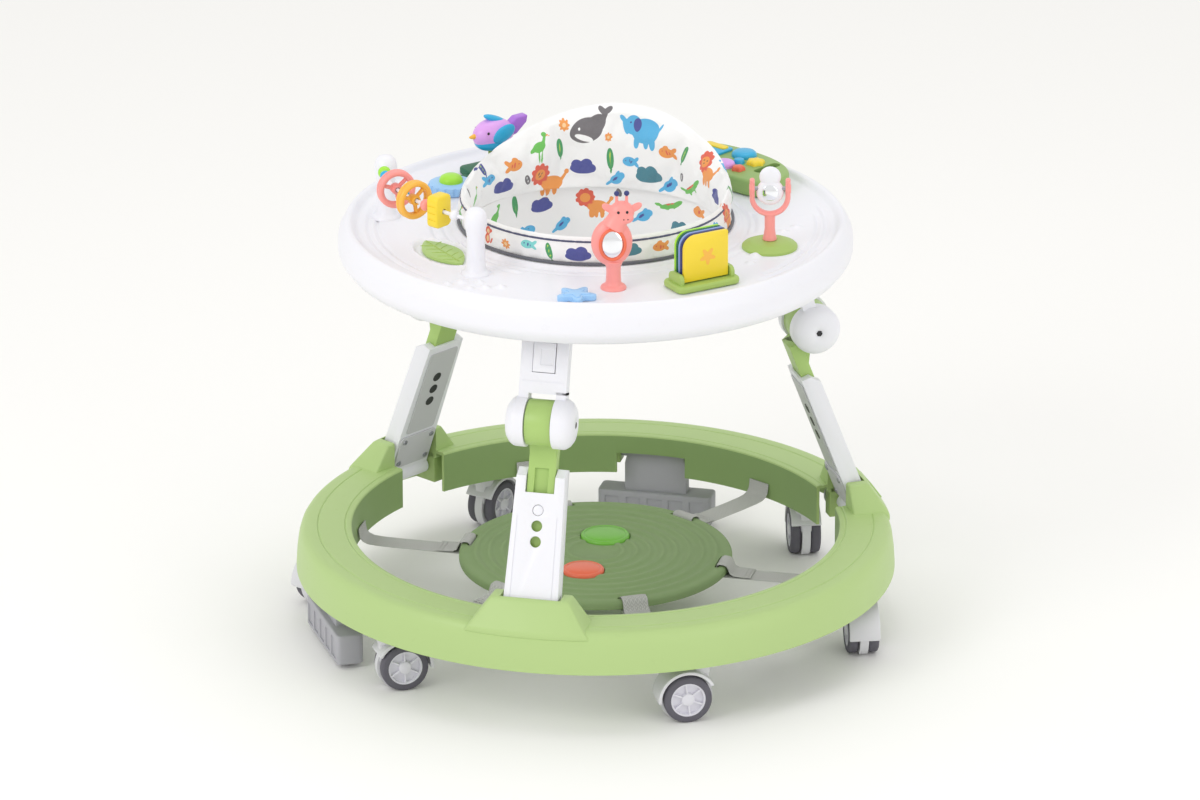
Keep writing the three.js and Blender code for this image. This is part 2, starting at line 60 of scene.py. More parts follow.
# ---------------------------------------------------------------- camera, light and floor
CAMERA = {"azimuth": 13.5, "elevation": 20.84, "distance": 10.0, "lens": 257.7, "aim": (0.0, 0.0, 0.238),
          "pan_right": 0.0051, "pan_up": 0.0336}
LIGHTS = [("key_light", (-1.6, -2.4, 2.2), 1.6, 23), ("fill_light", (2.4, -1.4, 1.2), 2.0, 9),
          ("top_light", (0.2, 0.6, 3.0), 2.2, 10)]
LIT_POINT = Vector((0, 0, 0.3))
SKY_COLOR, SKY_STRENGTH = (0.98, 0.975, 0.96, 1), 0.88
FLOOR_COLOR = (0.97, 0.965, 0.95, 1)


def set_up(name, data, location, direction):
    """Adds a camera or a light at location that looks along direction."""
    obj = bpy.data.objects.new(name, data)
    bpy.context.scene.collection.objects.link(obj)
    obj.location = location
    obj.rotation_mode = "QUATERNION"
    obj.rotation_quaternion = direction.to_track_quat("-Z", "Y")
    return obj


def make_camera():
    azimuth, elevation = math.radians(CAMERA["azimuth"]), math.radians(CAMERA["elevation"])
    back = Vector((math.sin(azimuth) * math.cos(elevation), -math.cos(azimuth) * math.cos(elevation),
                   math.sin(elevation)))
    right = Vector((math.cos(azimuth), math.sin(azimuth), 0))
    aim = Vector(CAMERA["aim"]) + right * CAMERA["pan_right"] + back.cross(right) * CAMERA["pan_up"]
    data = bpy.data.cameras.new("camera")
    data.lens, data.clip_end = CAMERA["lens"], 100
    bpy.context.scene.camera = set_up("camera", data, aim + back * CAMERA["distance"], -back)


def make_studio():
    bpy.context.scene.view_settings.view_transform = "Standard"
    for name, location, size, power in LIGHTS:
        data = bpy.data.lights.new(name, "AREA")
        data.shape, data.size, data.energy = "DISK", size, power
        set_up(name, data, location, LIT_POINT - Vector(location))
    world = bpy.data.worlds.new("studio")
    world.use_nodes = True
    background = world.node_tree.nodes["Background"]
    background.inputs["Color"].default_value = SKY_COLOR
    background.inputs["Strength"].default_value = SKY_STRENGTH
    bpy.context.scene.world = world
    bpy.ops.mesh.primitive_plane_add(size=30)
    floor = bpy.context.object
    floor.name = "studio_floor"
    floor.data.materials.append(Nodes("studio_floor").set(Base_Color=FLOOR_COLOR, Roughness=0.9))


# ---------------------------------------------------------------- materials
def srgb(red, green, blue):
    """A colour given as 0 to 255 screen values, as linear RGBA."""
    return tuple(c / 12.92 if c <= 0.04045 else ((c + 0.055) / 1.055) ** 2.4
                 for c in (red / 255, green / 255, blue / 255)) + (1,)


class Nodes:
    """Short calls that add and link nodes in one material."""

    def __init__(self, name):
        self.material = bpy.data.materials.new(name)
        self.material.use_nodes = True
        self.tree = self.material.node_tree
        self.shader = self.tree.nodes["Principled BSDF"]

    def add(self, kind, settings=None, **inputs):
        node = self.tree.nodes.new(kind)
        for key, value in (settings or {}).items():
            setattr(node, key, value)
        for key, value in inputs.items():
            self.put(node, key.replace("_", " "), value)
        return node

    def put(self, node, key, value):
        socket = node.inputs[int(key[1:])] if key[0] == "n" and key[1:].isdigit() else node.inputs[key]
        if isinstance(value, bpy.types.NodeSocket):
            self.tree.links.new(value, socket)
        else:
            socket.default_value = value

    def math(self, operation, a, b=0.0, clamp=False):
        return self.add("ShaderNodeMath", {"operation": operation, "use_clamp": clamp}, n0=a,
                        n1=b).outputs[0]

    def mix(self, factor, a, b):
        node = self.add("ShaderNodeMix", {"data_type": "RGBA"})
        self.put(node, "n0", factor)
        self.put(node, "n6", a)
        self.put(node, "n7", b)
        return node.outputs[2]

    def place(self):
        return self.add("ShaderNodeTexCoord").outputs["Object"]

    def noise(self, scale, detail=3.0, roughness=0.5):
        return self.add("ShaderNodeTexNoise", Vector=self.place(), Scale=scale, Detail=detail,
                        Roughness=roughness).outputs[0]

    def span(self, value, low, high):
        node = self.add("ShaderNodeMapRange", Value=value)
        node.inputs["To Min"].default_value, node.inputs["To Max"].default_value = low, high
        return node.outputs[0]

    def bump(self, height, strength, distance, normal=None):
        node = self.add("ShaderNodeBump", Height=height, Strength=strength, Distance=distance)
        if normal is not None:
            self.put(node, "Normal", normal)
        return node.outputs[0]

    def set(self, **values):
        for key, value in values.items():
            self.put(self.shader, key.replace("_", " "), value)
        return self.material


def darker(color, share):
    return tuple(c * share for c in color[:3]) + (1,)


def plastic(name, color, roughness=0.38, grain=0.5, coat=0.0, glow=0.0):
    """Moulded plastic: a fine spark-eroded grain, slow colour drift, and scuffs that lift the roughness."""
    n, color = Nodes(name), srgb(*color)
    drift = n.mix(n.span(n.noise(7, 2), 0.2, 0.8), darker(color, 0.965), color)
    scuffs = n.math("GREATER_THAN", n.noise(55, 5, 0.75), 0.64)
    tint = n.mix(n.math("MULTIPLY", scuffs, 0.22), drift, darker(color, 0.9))
    rough = n.math("ADD", n.span(n.noise(30, 4), roughness - 0.06, roughness + 0.08),
                   n.math("MULTIPLY", scuffs, 0.06))
    height = n.bump(n.noise(1400, 2), 0.16 * grain, 0.00025, n.bump(n.noise(24, 1), 0.05, 0.002))
    return n.set(Base_Color=tint, Roughness=rough, Normal=height, Coat_Weight=coat, Coat_Roughness=0.25,
                 IOR=1.47, Subsurface_Weight=glow, Subsurface_Radius=(0.004, 0.003, 0.002))


def rubber(name, color, roughness=0.72):
    n, color = Nodes(name), srgb(*color)
    dust = n.span(n.noise(90, 5, 0.7), 0.0, 0.5)
    tint = n.mix(dust, color, tuple(c * 0.8 + 0.05 for c in color[:3]) + (1,))
    height = n.bump(n.noise(700, 3), 0.25, 0.0004)
    return n.set(Base_Color=tint, Roughness=n.span(n.noise(60), roughness - 0.1, roughness + 0.1),
                 Normal=height)


def metal(name, color):
    n, color = Nodes(name), srgb(*color)
    streak = n.noise(300, 4)
    return n.set(Metallic=1.0, Base_Color=n.mix(streak, darker(color, 0.8), color),
                 Roughness=n.span(streak, 0.22, 0.42), Normal=n.bump(streak, 0.1, 0.0002))


def weave_height(n, cloth, pitch):
    """A plain weave from the cloth attribute, whose X and Y are metres along the warp and weft."""
    parts = n.add("ShaderNodeSeparateXYZ", Vector=cloth)
    across = n.math("SINE", n.math("MULTIPLY", parts.outputs[0], math.tau / pitch))
    along = n.math("SINE", n.math("MULTIPLY", parts.outputs[1], math.tau / pitch))
    return n.math("MAXIMUM", n.math("MULTIPLY", across, along), n.math("MULTIPLY", across, -0.6))


def cloth_attribute(n):
    return n.add("ShaderNodeAttribute", {"attribute_name": "cloth"}).outputs["Vector"]


def fabric(name, color, pitch=0.0011, printed=False):
    """Woven fabric; a printed one takes its figures from the print attributes on the mesh."""
    n, color = Nodes(name), srgb(*color)
    weave = weave_height(n, cloth_attribute(n), pitch)
    tint = n.mix(n.span(n.noise(14, 3), 0.1, 0.9), darker(color, 0.95), color)
    if printed:
        for layer in ("a", "b"):
            ink = n.add("ShaderNodeAttribute", {"attribute_name": f"print_{layer}_color"}).outputs["Color"]
            away = n.add("ShaderNodeAttribute", {"attribute_name": f"print_{layer}_away"}).outputs["Fac"]
            edge = n.math("SUBTRACT", 0.5, n.math("MULTIPLY", away, 3.2), clamp=True)
            worn = n.mix(n.span(n.noise(260, 3), 0.0, 0.35), ink, n.mix(0.12, ink, color))
            tint = n.mix(edge, tint, worn)
    # Painted shade: the weave's hollows are darkened towards grey.
    tint = n.mix(n.math("MULTIPLY", n.span(weave, 0.35, 0.0), 0.26, True), tint, (0.6, 0.6, 0.61, 1))
    height = n.bump(weave, 0.22, 0.00025, n.bump(n.noise(60, 3), 0.12, 0.0012))
    return n.set(Base_Color=tint, Roughness=n.span(n.noise(80), 0.82, 0.94), Normal=height,
                 Sheen_Weight=0.25, Sheen_Roughness=0.5)


def webbing(name, color):
    """Woven strap: chevrons along the strap from the cloth attribute, with painted shade in their troughs."""
    n, color = Nodes(name), srgb(*color)
    parts = n.add("ShaderNodeSeparateXYZ", Vector=cloth_attribute(n))
    zigzag = n.math("PINGPONG", parts.outputs[0], 0.0025)
    rows = n.math("SINE", n.math("MULTIPLY", n.math("ADD", parts.outputs[1], zigzag), math.tau / 0.0024))
    # Painted shade: the troughs between the woven rows are darker than the ridges.
    tint = n.mix(n.span(rows, 0.0, 1.0), darker(color, 0.72), color)
    return n.set(Base_Color=tint, Roughness=0.9, Normal=n.bump(rows, 0.5, 0.0004))


def mirror_foil(name):
    """Soft safety mirror: bright, with the slight waves of a plastic film."""
    n = Nodes(name)
    return n.set(Metallic=1.0, Base_Color=n.mix(n.noise(9, 1), (0.86, 0.88, 0.92, 1), (0.95, 0.96, 0.98,
            1)), Roughness=n.span(n.noise(120), 0.05, 0.16), Normal=n.bump(n.noise(22, 1), 0.15, 0.002))


WHITE = plastic("white_plastic", (240, 240, 246), 0.36, 0.5, 0.05, 0.03)
RING_GREEN = plastic("ring_green", (180, 206, 136), 0.42, 0.9)
# A darker copy of the ring green: painted shade on the blocks and sockets under the ring and on the cut slot
# and notch walls.
RING_SHADED = plastic("ring_shaded", (166, 192, 120), 0.44, 0.9)
# A darker copy again: painted shade for the ring's inner wall.
RING_INSIDE_SHADE = plastic("ring_inside_shade", (136, 164, 102), 0.44, 0.9)
SLIDER_GREEN = plastic("slider_green", (172, 203, 118), 0.36)
TOY_GREEN = plastic("toy_green", (168, 196, 104), 0.4)
MUSIC_GREEN = plastic("music_green", (150, 182, 106), 0.4)
PINK = plastic("pink", (252, 158, 152), 0.34, 0.4, 0.1, 0.05)
YELLOW = plastic("yellow", (246, 216, 52), 0.32, 0.4, 0.15)
AMBER = plastic("amber", (248, 186, 72), 0.32, 0.4, 0.15)
ORANGE = plastic("orange", (240, 112, 78), 0.32, 0.4, 0.15)
LEAF = plastic("bright_green", (118, 190, 66), 0.32, 0.4, 0.15)
LIME = plastic("lime", (168, 232, 62), 0.3, 0.4, 0.2)
DARK_GREEN = plastic("dark_green", (26, 104, 72), 0.4)
SKY = plastic("sky_blue", (46, 176, 224), 0.3, 0.4, 0.2)
PALE_BLUE = plastic("pale_blue", (160, 206, 248), 0.34, 0.4, 0.1)
PERIWINKLE = plastic("periwinkle", (142, 166, 222), 0.38)
NAVY = plastic("navy", (52, 60, 120), 0.4)
LILAC = plastic("lilac", (226, 168, 240), 0.32, 0.4, 0.15, 0.05)
PURPLE = plastic("purple", (176, 116, 220), 0.34, 0.4, 0.15)
HOOD_GREY = plastic("hood_grey", (222, 222, 226), 0.38)
HUB_GREY = plastic("hub_grey", (226, 225, 233), 0.4)
BACK_GREY = plastic("back_grey", (206, 206, 210), 0.42)
BLACK = plastic("black_plastic", (38, 38, 42), 0.45)
TYRE = rubber("tyre", (92, 90, 100))
FOOT = rubber("foot_rubber", (176, 176, 182), 0.66)
MAT = rubber("mat_foam", (132, 158, 104), 0.66)
STEEL = metal("pin_steel", (176, 178, 184))
MIRROR = mirror_foil("mirror_foil")
PRINTED = fabric("printed_fabric", (250, 250, 250), printed=True)
PIPING = fabric("piping", (92, 94, 104), 0.0014)
NAVY_PIPING = fabric("navy_piping", (58, 62, 100), 0.0014)
STRAP = webbing("webbing_grey", (206, 207, 202))


# ---------------------------------------------------------------- mesh tools
def piece(name, verts, faces, material, smooth=35.0):
    mesh = bpy.data.meshes.new(name)
    mesh.from_pydata([tuple(v) for v in verts], [], faces)
    obj = bpy.data.objects.new(name, mesh)
    bpy.context.scene.collection.objects.link(obj)
    mesh.materials.append(material)
    tidy_normals(obj, smooth)
    return obj


def tidy_normals(obj, smooth):
    edit = bmesh.new()
    edit.from_mesh(obj.data)
    bmesh.ops.remove_doubles(edit, verts=edit.verts, dist=1e-6)
    bmesh.ops.recalc_face_normals(edit, faces=edit.faces)
    edit.to_mesh(obj.data)
    edit.free()
    shade(obj, smooth)


def shade(obj, smooth=35.0):
    obj.data.polygons.foreach_set("use_smooth", [True] * len(obj.data.polygons))
    obj.data.update()
    obj.data.set_sharp_from_angle(angle=math.radians(smooth))


def quads(rows, columns, closed):
    """Faces between rows of points. Each row runs round, and closed joins the last row to the first."""
    return [[i * columns + k, i * columns + (k + 1) % columns, (i + 1) % rows * columns + (k + 1) % columns,
             (i + 1) % rows * columns + k] for i in range(rows if closed else rows - 1)
            for k in range(columns)]


def lathe(name, profile, material, segments=96, closed=False, smooth=35.0):
    """Turns an outline of radius and height round Z. A radius of 0 becomes a pole."""
    verts, rows = [], []
    for r, z in profile:
        if r < 1e-7:
            rows.append([len(verts)] * segments)
            verts.append((0, 0, z))
        else:
            rows.append(list(range(len(verts), len(verts) + segments)))
            verts += [(r * math.sin(math.tau * i / segments), -r * math.cos(math.tau * i / segments), z)
                      for i in range(segments)]
    pairs = list(zip(rows, rows[1:])) + ([(rows[-1], rows[0])] if closed else [])
    faces = []
    for low, high in pairs:
        for i in range(segments):
            j = (i + 1) % segments
            corners = [low[i], low[j], high[j], high[i]]
            faces.append([v for k, v in enumerate(corners) if v != corners[k - 1]])
    return piece(name, verts, [f for f in faces if len(f) > 2], material, smooth)


def prism(name, outline, low, high, material):
    """An outline in X and Y, thickened from low to high along Z."""
    count = len(outline)
    verts = [(x, y, low) for x, y in outline] + [(x, y, high) for x, y in outline]
    faces = [list(range(count))[::-1], list(range(count, 2 * count))]
    faces += [[i, (i + 1) % count, (i + 1) % count + count, i + count] for i in range(count)]
    return piece(name, verts, faces, material)


def block(name, low, high, material):
    (x0, y0, z0), (x1, y1, z1) = low, high
    return prism(name, [(x0, y0), (x1, y0), (x1, y1), (x0, y1)], z0, z1, material)


def rod(name, radius, start, end, material, segments=32):
    """A cylinder from one point to another."""
    start, end = Vector(start), Vector(end)
    length = (end - start).length
    made = lathe(name, [(0, 0), (radius, 0), (radius, length), (0, length)], material, segments)
    made.data.transform(Matrix.Translation(start) @ (end - start).to_track_quat("Z",
            "Y").to_matrix().to_4x4())
    return made


def ball(name, radius, at, squash, material, rings=24):
    profile = [(radius * math.sin(math.pi * i / rings), -radius * math.cos(math.pi * i / rings))
               for i in range(rings + 1)]
    profile[0], profile[-1] = (0, -radius), (0, radius)
    made = lathe(name, profile, material, rings * 2, smooth=80)
    made.data.transform(Matrix.Translation(at) @ Matrix.Diagonal((*squash, 1)))
    return made


def tube(name, points, radius, material, sides=14, loop=False):
    """A round tube that follows points; radius is a number or one for each point."""
    points = [Vector(p) for p in points]
    count = len(points)
    radii = [radius] * count if isinstance(radius, (int, float)) else list(radius)
    verts, normal = [], None
    for i, point in enumerate(points):
        before = points[i - 1] if i or loop else point
        after = points[(i + 1) % count] if i < count - 1 or loop else point
        along = (after - before).normalized()
        if normal is None:
            normal = along.orthogonal().normalized()
        normal = (normal - along * normal.dot(along)).normalized()
        side = along.cross(normal)
        for k in range(sides):
            turn = math.tau * k / sides
            verts.append(point + (normal * math.cos(turn) + side * math.sin(turn)) * radii[i])
    faces = quads(count, sides, loop)
    if not loop:
        faces += [list(range(sides))[::-1], list(range((count - 1) * sides, count * sides))]
    return piece(name, verts, faces, material, 80)


def baked(obj):
    """Applies an object's modifiers to its mesh."""
    shown = obj.evaluated_get(bpy.context.evaluated_depsgraph_get())
    mesh = bpy.data.meshes.new_from_object(shown)
    obj.modifiers.clear()
    obj.data = mesh
    return obj


def combine(obj, other, operation):
    """A boolean with another object, which is then removed."""
    change = obj.modifiers.new("combine", "BOOLEAN")
    change.operation, change.solver, change.object = operation, "EXACT", other
    change.material_mode = "TRANSFER"
    bpy.context.view_layer.update()
    baked(obj)
    bpy.data.objects.remove(other)
    return obj


def cut(obj, *others):
    for other in others:
        combine(obj, other, "DIFFERENCE")
    return obj


def fuse(obj, *others):
    for other in others:
        combine(obj, other, "UNION")
    return obj


def joined(obj, *others):
    """Puts several meshes in one piece without a boolean."""
    with bpy.context.temp_override(active_object=obj, selected_editable_objects=[obj, *others]):
        bpy.ops.object.join()
    return obj


def soften(obj, width, segments=2, angle=32.0):
    """Rounds the edges with a bevel."""
    bevel = obj.modifiers.new("soften", "BEVEL")
    bevel.width, bevel.segments, bevel.angle_limit = width, segments, math.radians(angle)
    bevel.limit_method = "ANGLE"
    bevel.harden_normals = False
    baked(obj)
    shade(obj)
    return obj


def gather(parts):
    """Joins meshes one after another, and returns the first."""
    parts = iter(parts)
    first = next(parts)
    for other in parts:
        joined(first, other)
    return first


def moved(obj, matrix):
    obj.data.transform(matrix)
    return obj


def shift(x, y, z):
    return Matrix.Translation((x, y, z))


def spin(axis, degrees):
    return Matrix.Rotation(math.radians(degrees), 4, axis)


def place(obj, body, stands_for=()):
    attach(obj, body)
    if stands_for:
        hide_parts(*([stands_for] if isinstance(stands_for, str) else stands_for))
    return obj


def copy_of(obj, name, matrix):
    made = obj.copy()
    made.data = obj.data.copy()
    made.name = name
    bpy.context.scene.collection.objects.link(made)
    made.data.transform(matrix)
    return made


def spoke(degrees):
    """A turn about the walker's upright axis, from the front."""
    return spin("Z", degrees)


def at_spoke(obj, degrees, body, node=()):
    """Turns a piece made at the front to its own spoke, and lets it ride its body."""
    return place(moved(obj, spoke(degrees)), body, node)


def ramp(value, low, high):
    t = np.clip((value - low) / (high - low), 0, 1)
    return t * t * (3 - 2 * t)


def arc(x, y, radius, start, end, steps):
    turns = [math.radians(start + (end - start) * i / steps) for i in range(steps + 1)]
    return [(x + radius * math.cos(turn), y + radius * math.sin(turn)) for turn in turns]


def rounded_box(x0, y0, x1, y1, radius, steps=6):
    corners = ((x1 - radius, y0 + radius, -90), (x1 - radius, y1 - radius, 0),
               (x0 + radius, y1 - radius, 90), (x0 + radius, y0 + radius, 180))
    return [point for x, y, start in corners for point in arc(x, y, radius, start, start + 90, steps)]


def give_cloth(obj, across, along):
    """Stores where each point lies on the flat cloth, in metres, for the weave."""
    data = np.zeros((len(obj.data.vertices), 3), np.float32)
    data[:, 0], data[:, 1] = across, along
    attribute = obj.data.attributes.new("cloth", "FLOAT_VECTOR", "POINT")
    attribute.data.foreach_set("vector", data.ravel())


def points_of(obj):
    data = np.zeros(len(obj.data.vertices) * 3, np.float32)
    obj.data.vertices.foreach_get("co", data)
    return data.reshape(-1, 3).astype(float)


def set_points(obj, points):
    obj.data.vertices.foreach_set("co", np.asarray(points, np.float32).ravel())
    obj.data.update()


# ---------------------------------------------------------------- base: ring, brackets, mat and straps
LEG_ANGLES = [0, 120, -120]
FOOT_ANGLES = [180, -60, 60]
CASTERS = list(zip([35.5, 88.5, 141.5, -35.5, -88.5, -141.5], [115, 200, 20, -60, 150, -20]))
PIVOT = Vector(JOINTS["fold_1"]["pos_m"])
KNEE = Vector(JOINTS["knee_1"]["pos_m"])
HIP = Vector(JOINTS["tray_hinge"]["pos_m"])
CASTER_RADIUS = 0.3175
STAND_HINGE = (0, -0.316, 0.086)
RAISED_STAND, RAISED_ANGLE = 3, 80
SIDEWAYS = Matrix(((0, 0, 1, 0), (1, 0, 0, 0), (0, 1, 0, 0), (0, 0, 0, 1)))
UPRIGHT = Matrix(((1, 0, 0, 0), (0, 0, -1, 0), (0, 1, 0, 0), (0, 0, 0, 1)))


def mm(*values):
    return [tuple(v * MM for v in value) if isinstance(value, (tuple, list)) else value * MM
            for value in values]


def side_prism(name, outline, low, high, material):
    """An outline in Y and Z, thickened along X."""
    return moved(prism(name, outline, low, high, material), SIDEWAYS)


def front_prism(name, outline, low, high, material):
    """An outline in X and Z, thickened towards -Y from low to high."""
    return moved(prism(name, outline, low, high, material), UPRIGHT)


GRIP_PITCH = 0.0052
INNER_WALL = 0.2862


def bracket_hood():
    """The raised housing over a leg slot, with a row of grip ridges on its front."""
    hood = front_prism("hood", mm((-74, 112), (-70, 118), (-45, 151), (45, 151), (70, 118), (74, 112)),
                       0.296, 0.352, RING_GREEN)
    slope = lathe("slope", mm((0, 98), (346, 98), (346.5, 119), (324.5, 150), (318, 152), (0, 152)),
                  RING_GREEN, 168)
    combine(hood, slope, "INTERSECT")
    soften(hood, 0.0035, 3)
    for i in range(-4, 5):
        x = i * GRIP_PITCH
        joined(hood, tube("ridge", [(x, -0.3442, 0.1220), (x, -0.3375, 0.1315), (x, -0.3310, 0.1405)],
                          0.0011, RING_GREEN, 8))
    return hood


def bracket_blocks(name, angles, x, half, low, high, bevel):
    """The pair of blocks under the ring that carry a pin, at each spoke; low and high are in Y and Z."""
    for number, angle in enumerate(angles, 1):
        for side in (-1, 1):
            # Painted shade: the blocks under the ring take the darker copy of the ring green.
            made = block("bracket", (side * x - half, *low), (side * x + half, *high), RING_SHADED)
            soften(made, bevel).name = f"{name}_{number}{'lr'[side > 0]}"
            at_spoke(made, angle, "base")


def make_ring():
    profile = mm((350, 73), (350, 75), (348.9, 92), (346.9, 107), (344.6, 115), (342, 119), (338.6, 121.2),
                 (334, 122), (326, 122), (324.6, 121), (323.2, 122), (294, 122), (292.6, 121), (291.2, 122),
                 (287.5, 122), (285.7, 121.2), (285, 119.5), (285, 73), (288.5, 73), (288.5, 118.5),
                 (337, 118.5), (343, 106), (346.5, 73))
    ring = lathe("base_ring_shell", profile, RING_GREEN, 168, closed=True, smooth=30)
    # The slot and notch cutters carry the darker ring green, which the boolean moves onto the cut walls as
    # painted shade.
    slot_outline = mm((-262, 60), (-339, 60), (-339, 104), (-335, 109), (-331.2, 116), (-322, 141),
                      (-316.5, 158), (-262, 158))
    for angle in LEG_ANGLES:
        fuse(ring, moved(bracket_hood(), spoke(angle)))
    for angle in LEG_ANGLES:
        cut(ring, moved(side_prism("slot", slot_outline, -0.035, 0.035, RING_SHADED), spoke(angle)))
    for angle in FOOT_ANGLES:
        cut(ring, moved(block("notch", (-0.042, -0.3, 0.06), (0.042, -0.27, 0.098), RING_SHADED),
                        spoke(angle)))
    # Painted shade: the upright faces of the ring's inner wall get the darkest copy of the ring green.
    ring.data.materials.append(RING_INSIDE_SHADE)
    for face in ring.data.polygons:
        if math.hypot(face.center.x, face.center.y) < INNER_WALL and abs(face.normal.z) < 0.3:
            face.material_index = len(ring.data.materials) - 1
    shade(ring, 30)
    place(ring, "base", "base_ring")
    bracket_blocks("pivot_cheek", LEG_ANGLES, 0.0435, 0.0085, (-0.3345, 0.080), (-0.299, 0.1185), 0.0015)
    bracket_blocks("foot_ear", FOOT_ANGLES, 0.046, 0.003, (-0.326, 0.076), (-0.306, 0.1185), 0.001)
    # Painted shade: the caster sockets under the ring are in the darker copy of the ring green.
    for number, (angle, _) in enumerate(CASTERS, 1):
        section = mm((6.8, 78), (10, 78), (11, 79), (11, 118.5), (6.8, 118.5))
        socket = lathe(f"caster_socket_{number}", section, RING_SHADED, 40, closed=True)
        place(moved(socket, spoke(angle) @ shift(0, -CASTER_RADIUS, 0)), "base")


MAT_TOP = 0.085
MAT_BUTTONS = {"mat_button_green": (0.048, 0.029, LEAF), "mat_button_orange": (-0.063, 0.025, ORANGE)}


def make_mat():
    profile = mm((0, 74), (157, 74), (159.4, 75), (160, 77), (160, 82), (159, 84.2), (156.5, 85), (152, 85))
    for r in np.arange(141, 30, -15.5):
        profile += mm((r + 4.2, 85), (r + 2.6, 86.5), (r, 87), (r - 2.6, 86.5), (r - 4.2, 85))
    mat = lathe("play_mat_disc", profile + [(0, 0.085)], MAT, 120, smooth=50)
    for y, radius, _ in MAT_BUTTONS.values():
        cut(mat, rod("pocket", radius + 0.0008, (0, y, MAT_TOP - 0.0068), (0, y, MAT_TOP + 0.01), MAT, 64))
    for i in range(6):
        slit = prism("slit", rounded_box(-0.018, -0.151, 0.018, -0.146, 0.0024, 4), 0.07, 0.09, MAT)
        cut(mat, moved(slit, spoke(30 + 60 * i)))
    shade(mat, 50)
    place(mat, "base", "play_mat")
    for name, (y, radius, material) in MAT_BUTTONS.items():
        r = radius * 1000
        cap = lathe(name + "_cap", mm((0, 82), (r, 82), (r, 85.6), (r - 0.5, 87.2), (r - 1.8, 88.3),
                                      (r - 3.4, 88.7), (r - 4.4, 88.1), (r - 5.4, 88.8), (r * 0.6, 90.2),
                                      (r * 0.3, 90.8), (0, 91)), material, 72, smooth=50)
        place(moved(cap, shift(0, y, 0)), name, name)


def strip(name, path, width, thick, material, angle):
    """A flat strap: path is radius and height of its middle line, carried along the spoke at angle."""
    verts, faces, columns = [], [], 9
    for i, (r, z) in enumerate(path):
        before, after = path[max(i - 1, 0)], path[min(i + 1, len(path) - 1)]
        dr, dz = after[0] - before[0], after[1] - before[1]
        length = math.hypot(dr, dz)
        normal = (-dz / length, dr / length)
        for face in (1, -1):
            for k in range(columns):
                x = (k / (columns - 1) - 0.5) * width
                lift = face * thick / 2 * (1 if 0 < k < columns - 1 else 0.35)
                verts.append((x, -(r + normal[0] * lift), z + normal[1] * lift))
    ring = list(range(columns)) + list(range(2 * columns - 1, columns - 1, -1))
    for i in range(len(path) - 1):
        a, b = i * 2 * columns, (i + 1) * 2 * columns
        for k, v in enumerate(ring):
            w = ring[(k + 1) % len(ring)]
            faces.append([a + v, a + w, b + w, b + v])
    end = (len(path) - 1) * 2 * columns
    faces += [ring[::-1], [v + end for v in ring]]
    made = piece(name, verts, faces, material, 60)
    flat = points_of(moved(made, spoke(angle))) @ np.array(spoke(-angle).to_3x3()).T
    give_cloth(made, flat[:, 0], -flat[:, 1] + flat[:, 2])
    return made


def make_straps():
    for number in range(1, 7):
        angle = 60 * number - 30
        run = mm((283.0, 92), (282.4, 86), (281.2, 80.4), (278, 76.6), (272, 74), (262, 73.0), (240, 72.4),
                 (200, 72.2), (170, 72.2), (156, 72.2), (150.5, 73), (148.3, 76), (148.2, 82), (148.9, 86),
                 (151.5, 87.6), (156, 87.5), (160.5, 86), (162.6, 82), (164.5, 77), (169, 74.6),
                 (178, 74.0), (189, 73.9))
        strap = strip(f"mat_strap_{number}", run, 0.030, 0.0015, STRAP, angle)
        for r in (0.1815, 0.1862):
            thread = [((k / 22 - 0.5) * 0.026, -r, 0.0748 + (0.0004 if k % 2 else -0.0002))
                      for k in range(23)]
            joined(strap, moved(tube("thread", thread, 0.00035, STRAP, 5), spoke(angle)))
        place(strap, "base")
    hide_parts("mat_webbing")


# ---------------------------------------------------------------- stands and casters
def make_feet():
    for number, angle in enumerate(FOOT_ANGLES, 1):
        box = prism("box", rounded_box(-0.070, -0.016, 0.070, 0.016, 0.006), -0.080, -0.0435, FOOT)
        soften(box, 0.0022, 3)
        neck = front_prism("neck", mm((-38, -46), (-38, -10), (-34, 6), (34, 6), (38, -10), (38, -46)),
                           -0.009, 0.009, FOOT)
        soften(neck, 0.002, 2)
        fuse(box, neck)
        for x in (-52, -26, 0, 26, 52):
            for y in (-1, 1):
                panel = rounded_box((x - 9) * MM, y * 0.0155 - 0.0012, (x + 9) * MM, y * 0.0155 + 0.0012,
                                    0.001, 3)
                cut(box, prism("panel", panel, -0.075, -0.051, FOOT))
        for k in range(6):
            y = (-12.5 + 5 * k) * MM
            cut(box, block("tread", (-0.062, y - 0.0009, -0.082), (0.062, y + 0.0009, -0.0788), FOOT))
        shade(box, 35)
        at = spoke(angle) @ shift(*STAND_HINGE) @ spin("X", RAISED_ANGLE if number == RAISED_STAND else 0)
        box.name = f"stand_foot_block_{number}"
        place(moved(box, at), f"stand_foot_{number}", f"stand_foot_{number}")
        pin = rod(f"stand_pin_{number}", 0.004, (-0.050, 0, 0), (0.050, 0, 0), STEEL, 24)
        place(moved(pin, at), f"stand_foot_{number}")


WHEEL_R = 0.028
TRAIL = 0.017


def wheel_parts(side):
    """One wheel of a twin caster, with its axis along X: tyre, and a hub with six spokes and a cap."""
    section = mm((20.2, 0), (25.5, 0), (27.2, 0.9), (28, 2.8), (28, 9.2), (27.2, 11.1), (25.5, 12),
                 (20.2, 12))
    tyre = lathe("tyre", section, TYRE, 72, closed=True, smooth=40)
    hub = lathe("hub", mm((0, 1), (20.4, 1), (20.4, 11.4), (18.4, 11.4), (17.8, 6.5), (8, 6.5), (7.2, 11.2),
                          (5.6, 12), (0, 12.2)), HUB_GREY, 60, smooth=35)
    for k in range(6):
        rib = block("rib", (-0.0011, 0.0060, 0.006), (0.0011, 0.0192, 0.0102), HUB_GREY)
        joined(hub, moved(soften(rib, 0.0004, 1), spoke(60 * k)))
    out = shift(side * 0.006, 0, 0) @ spin("Y", 90 * side)
    return moved(tyre, out), moved(hub, out)


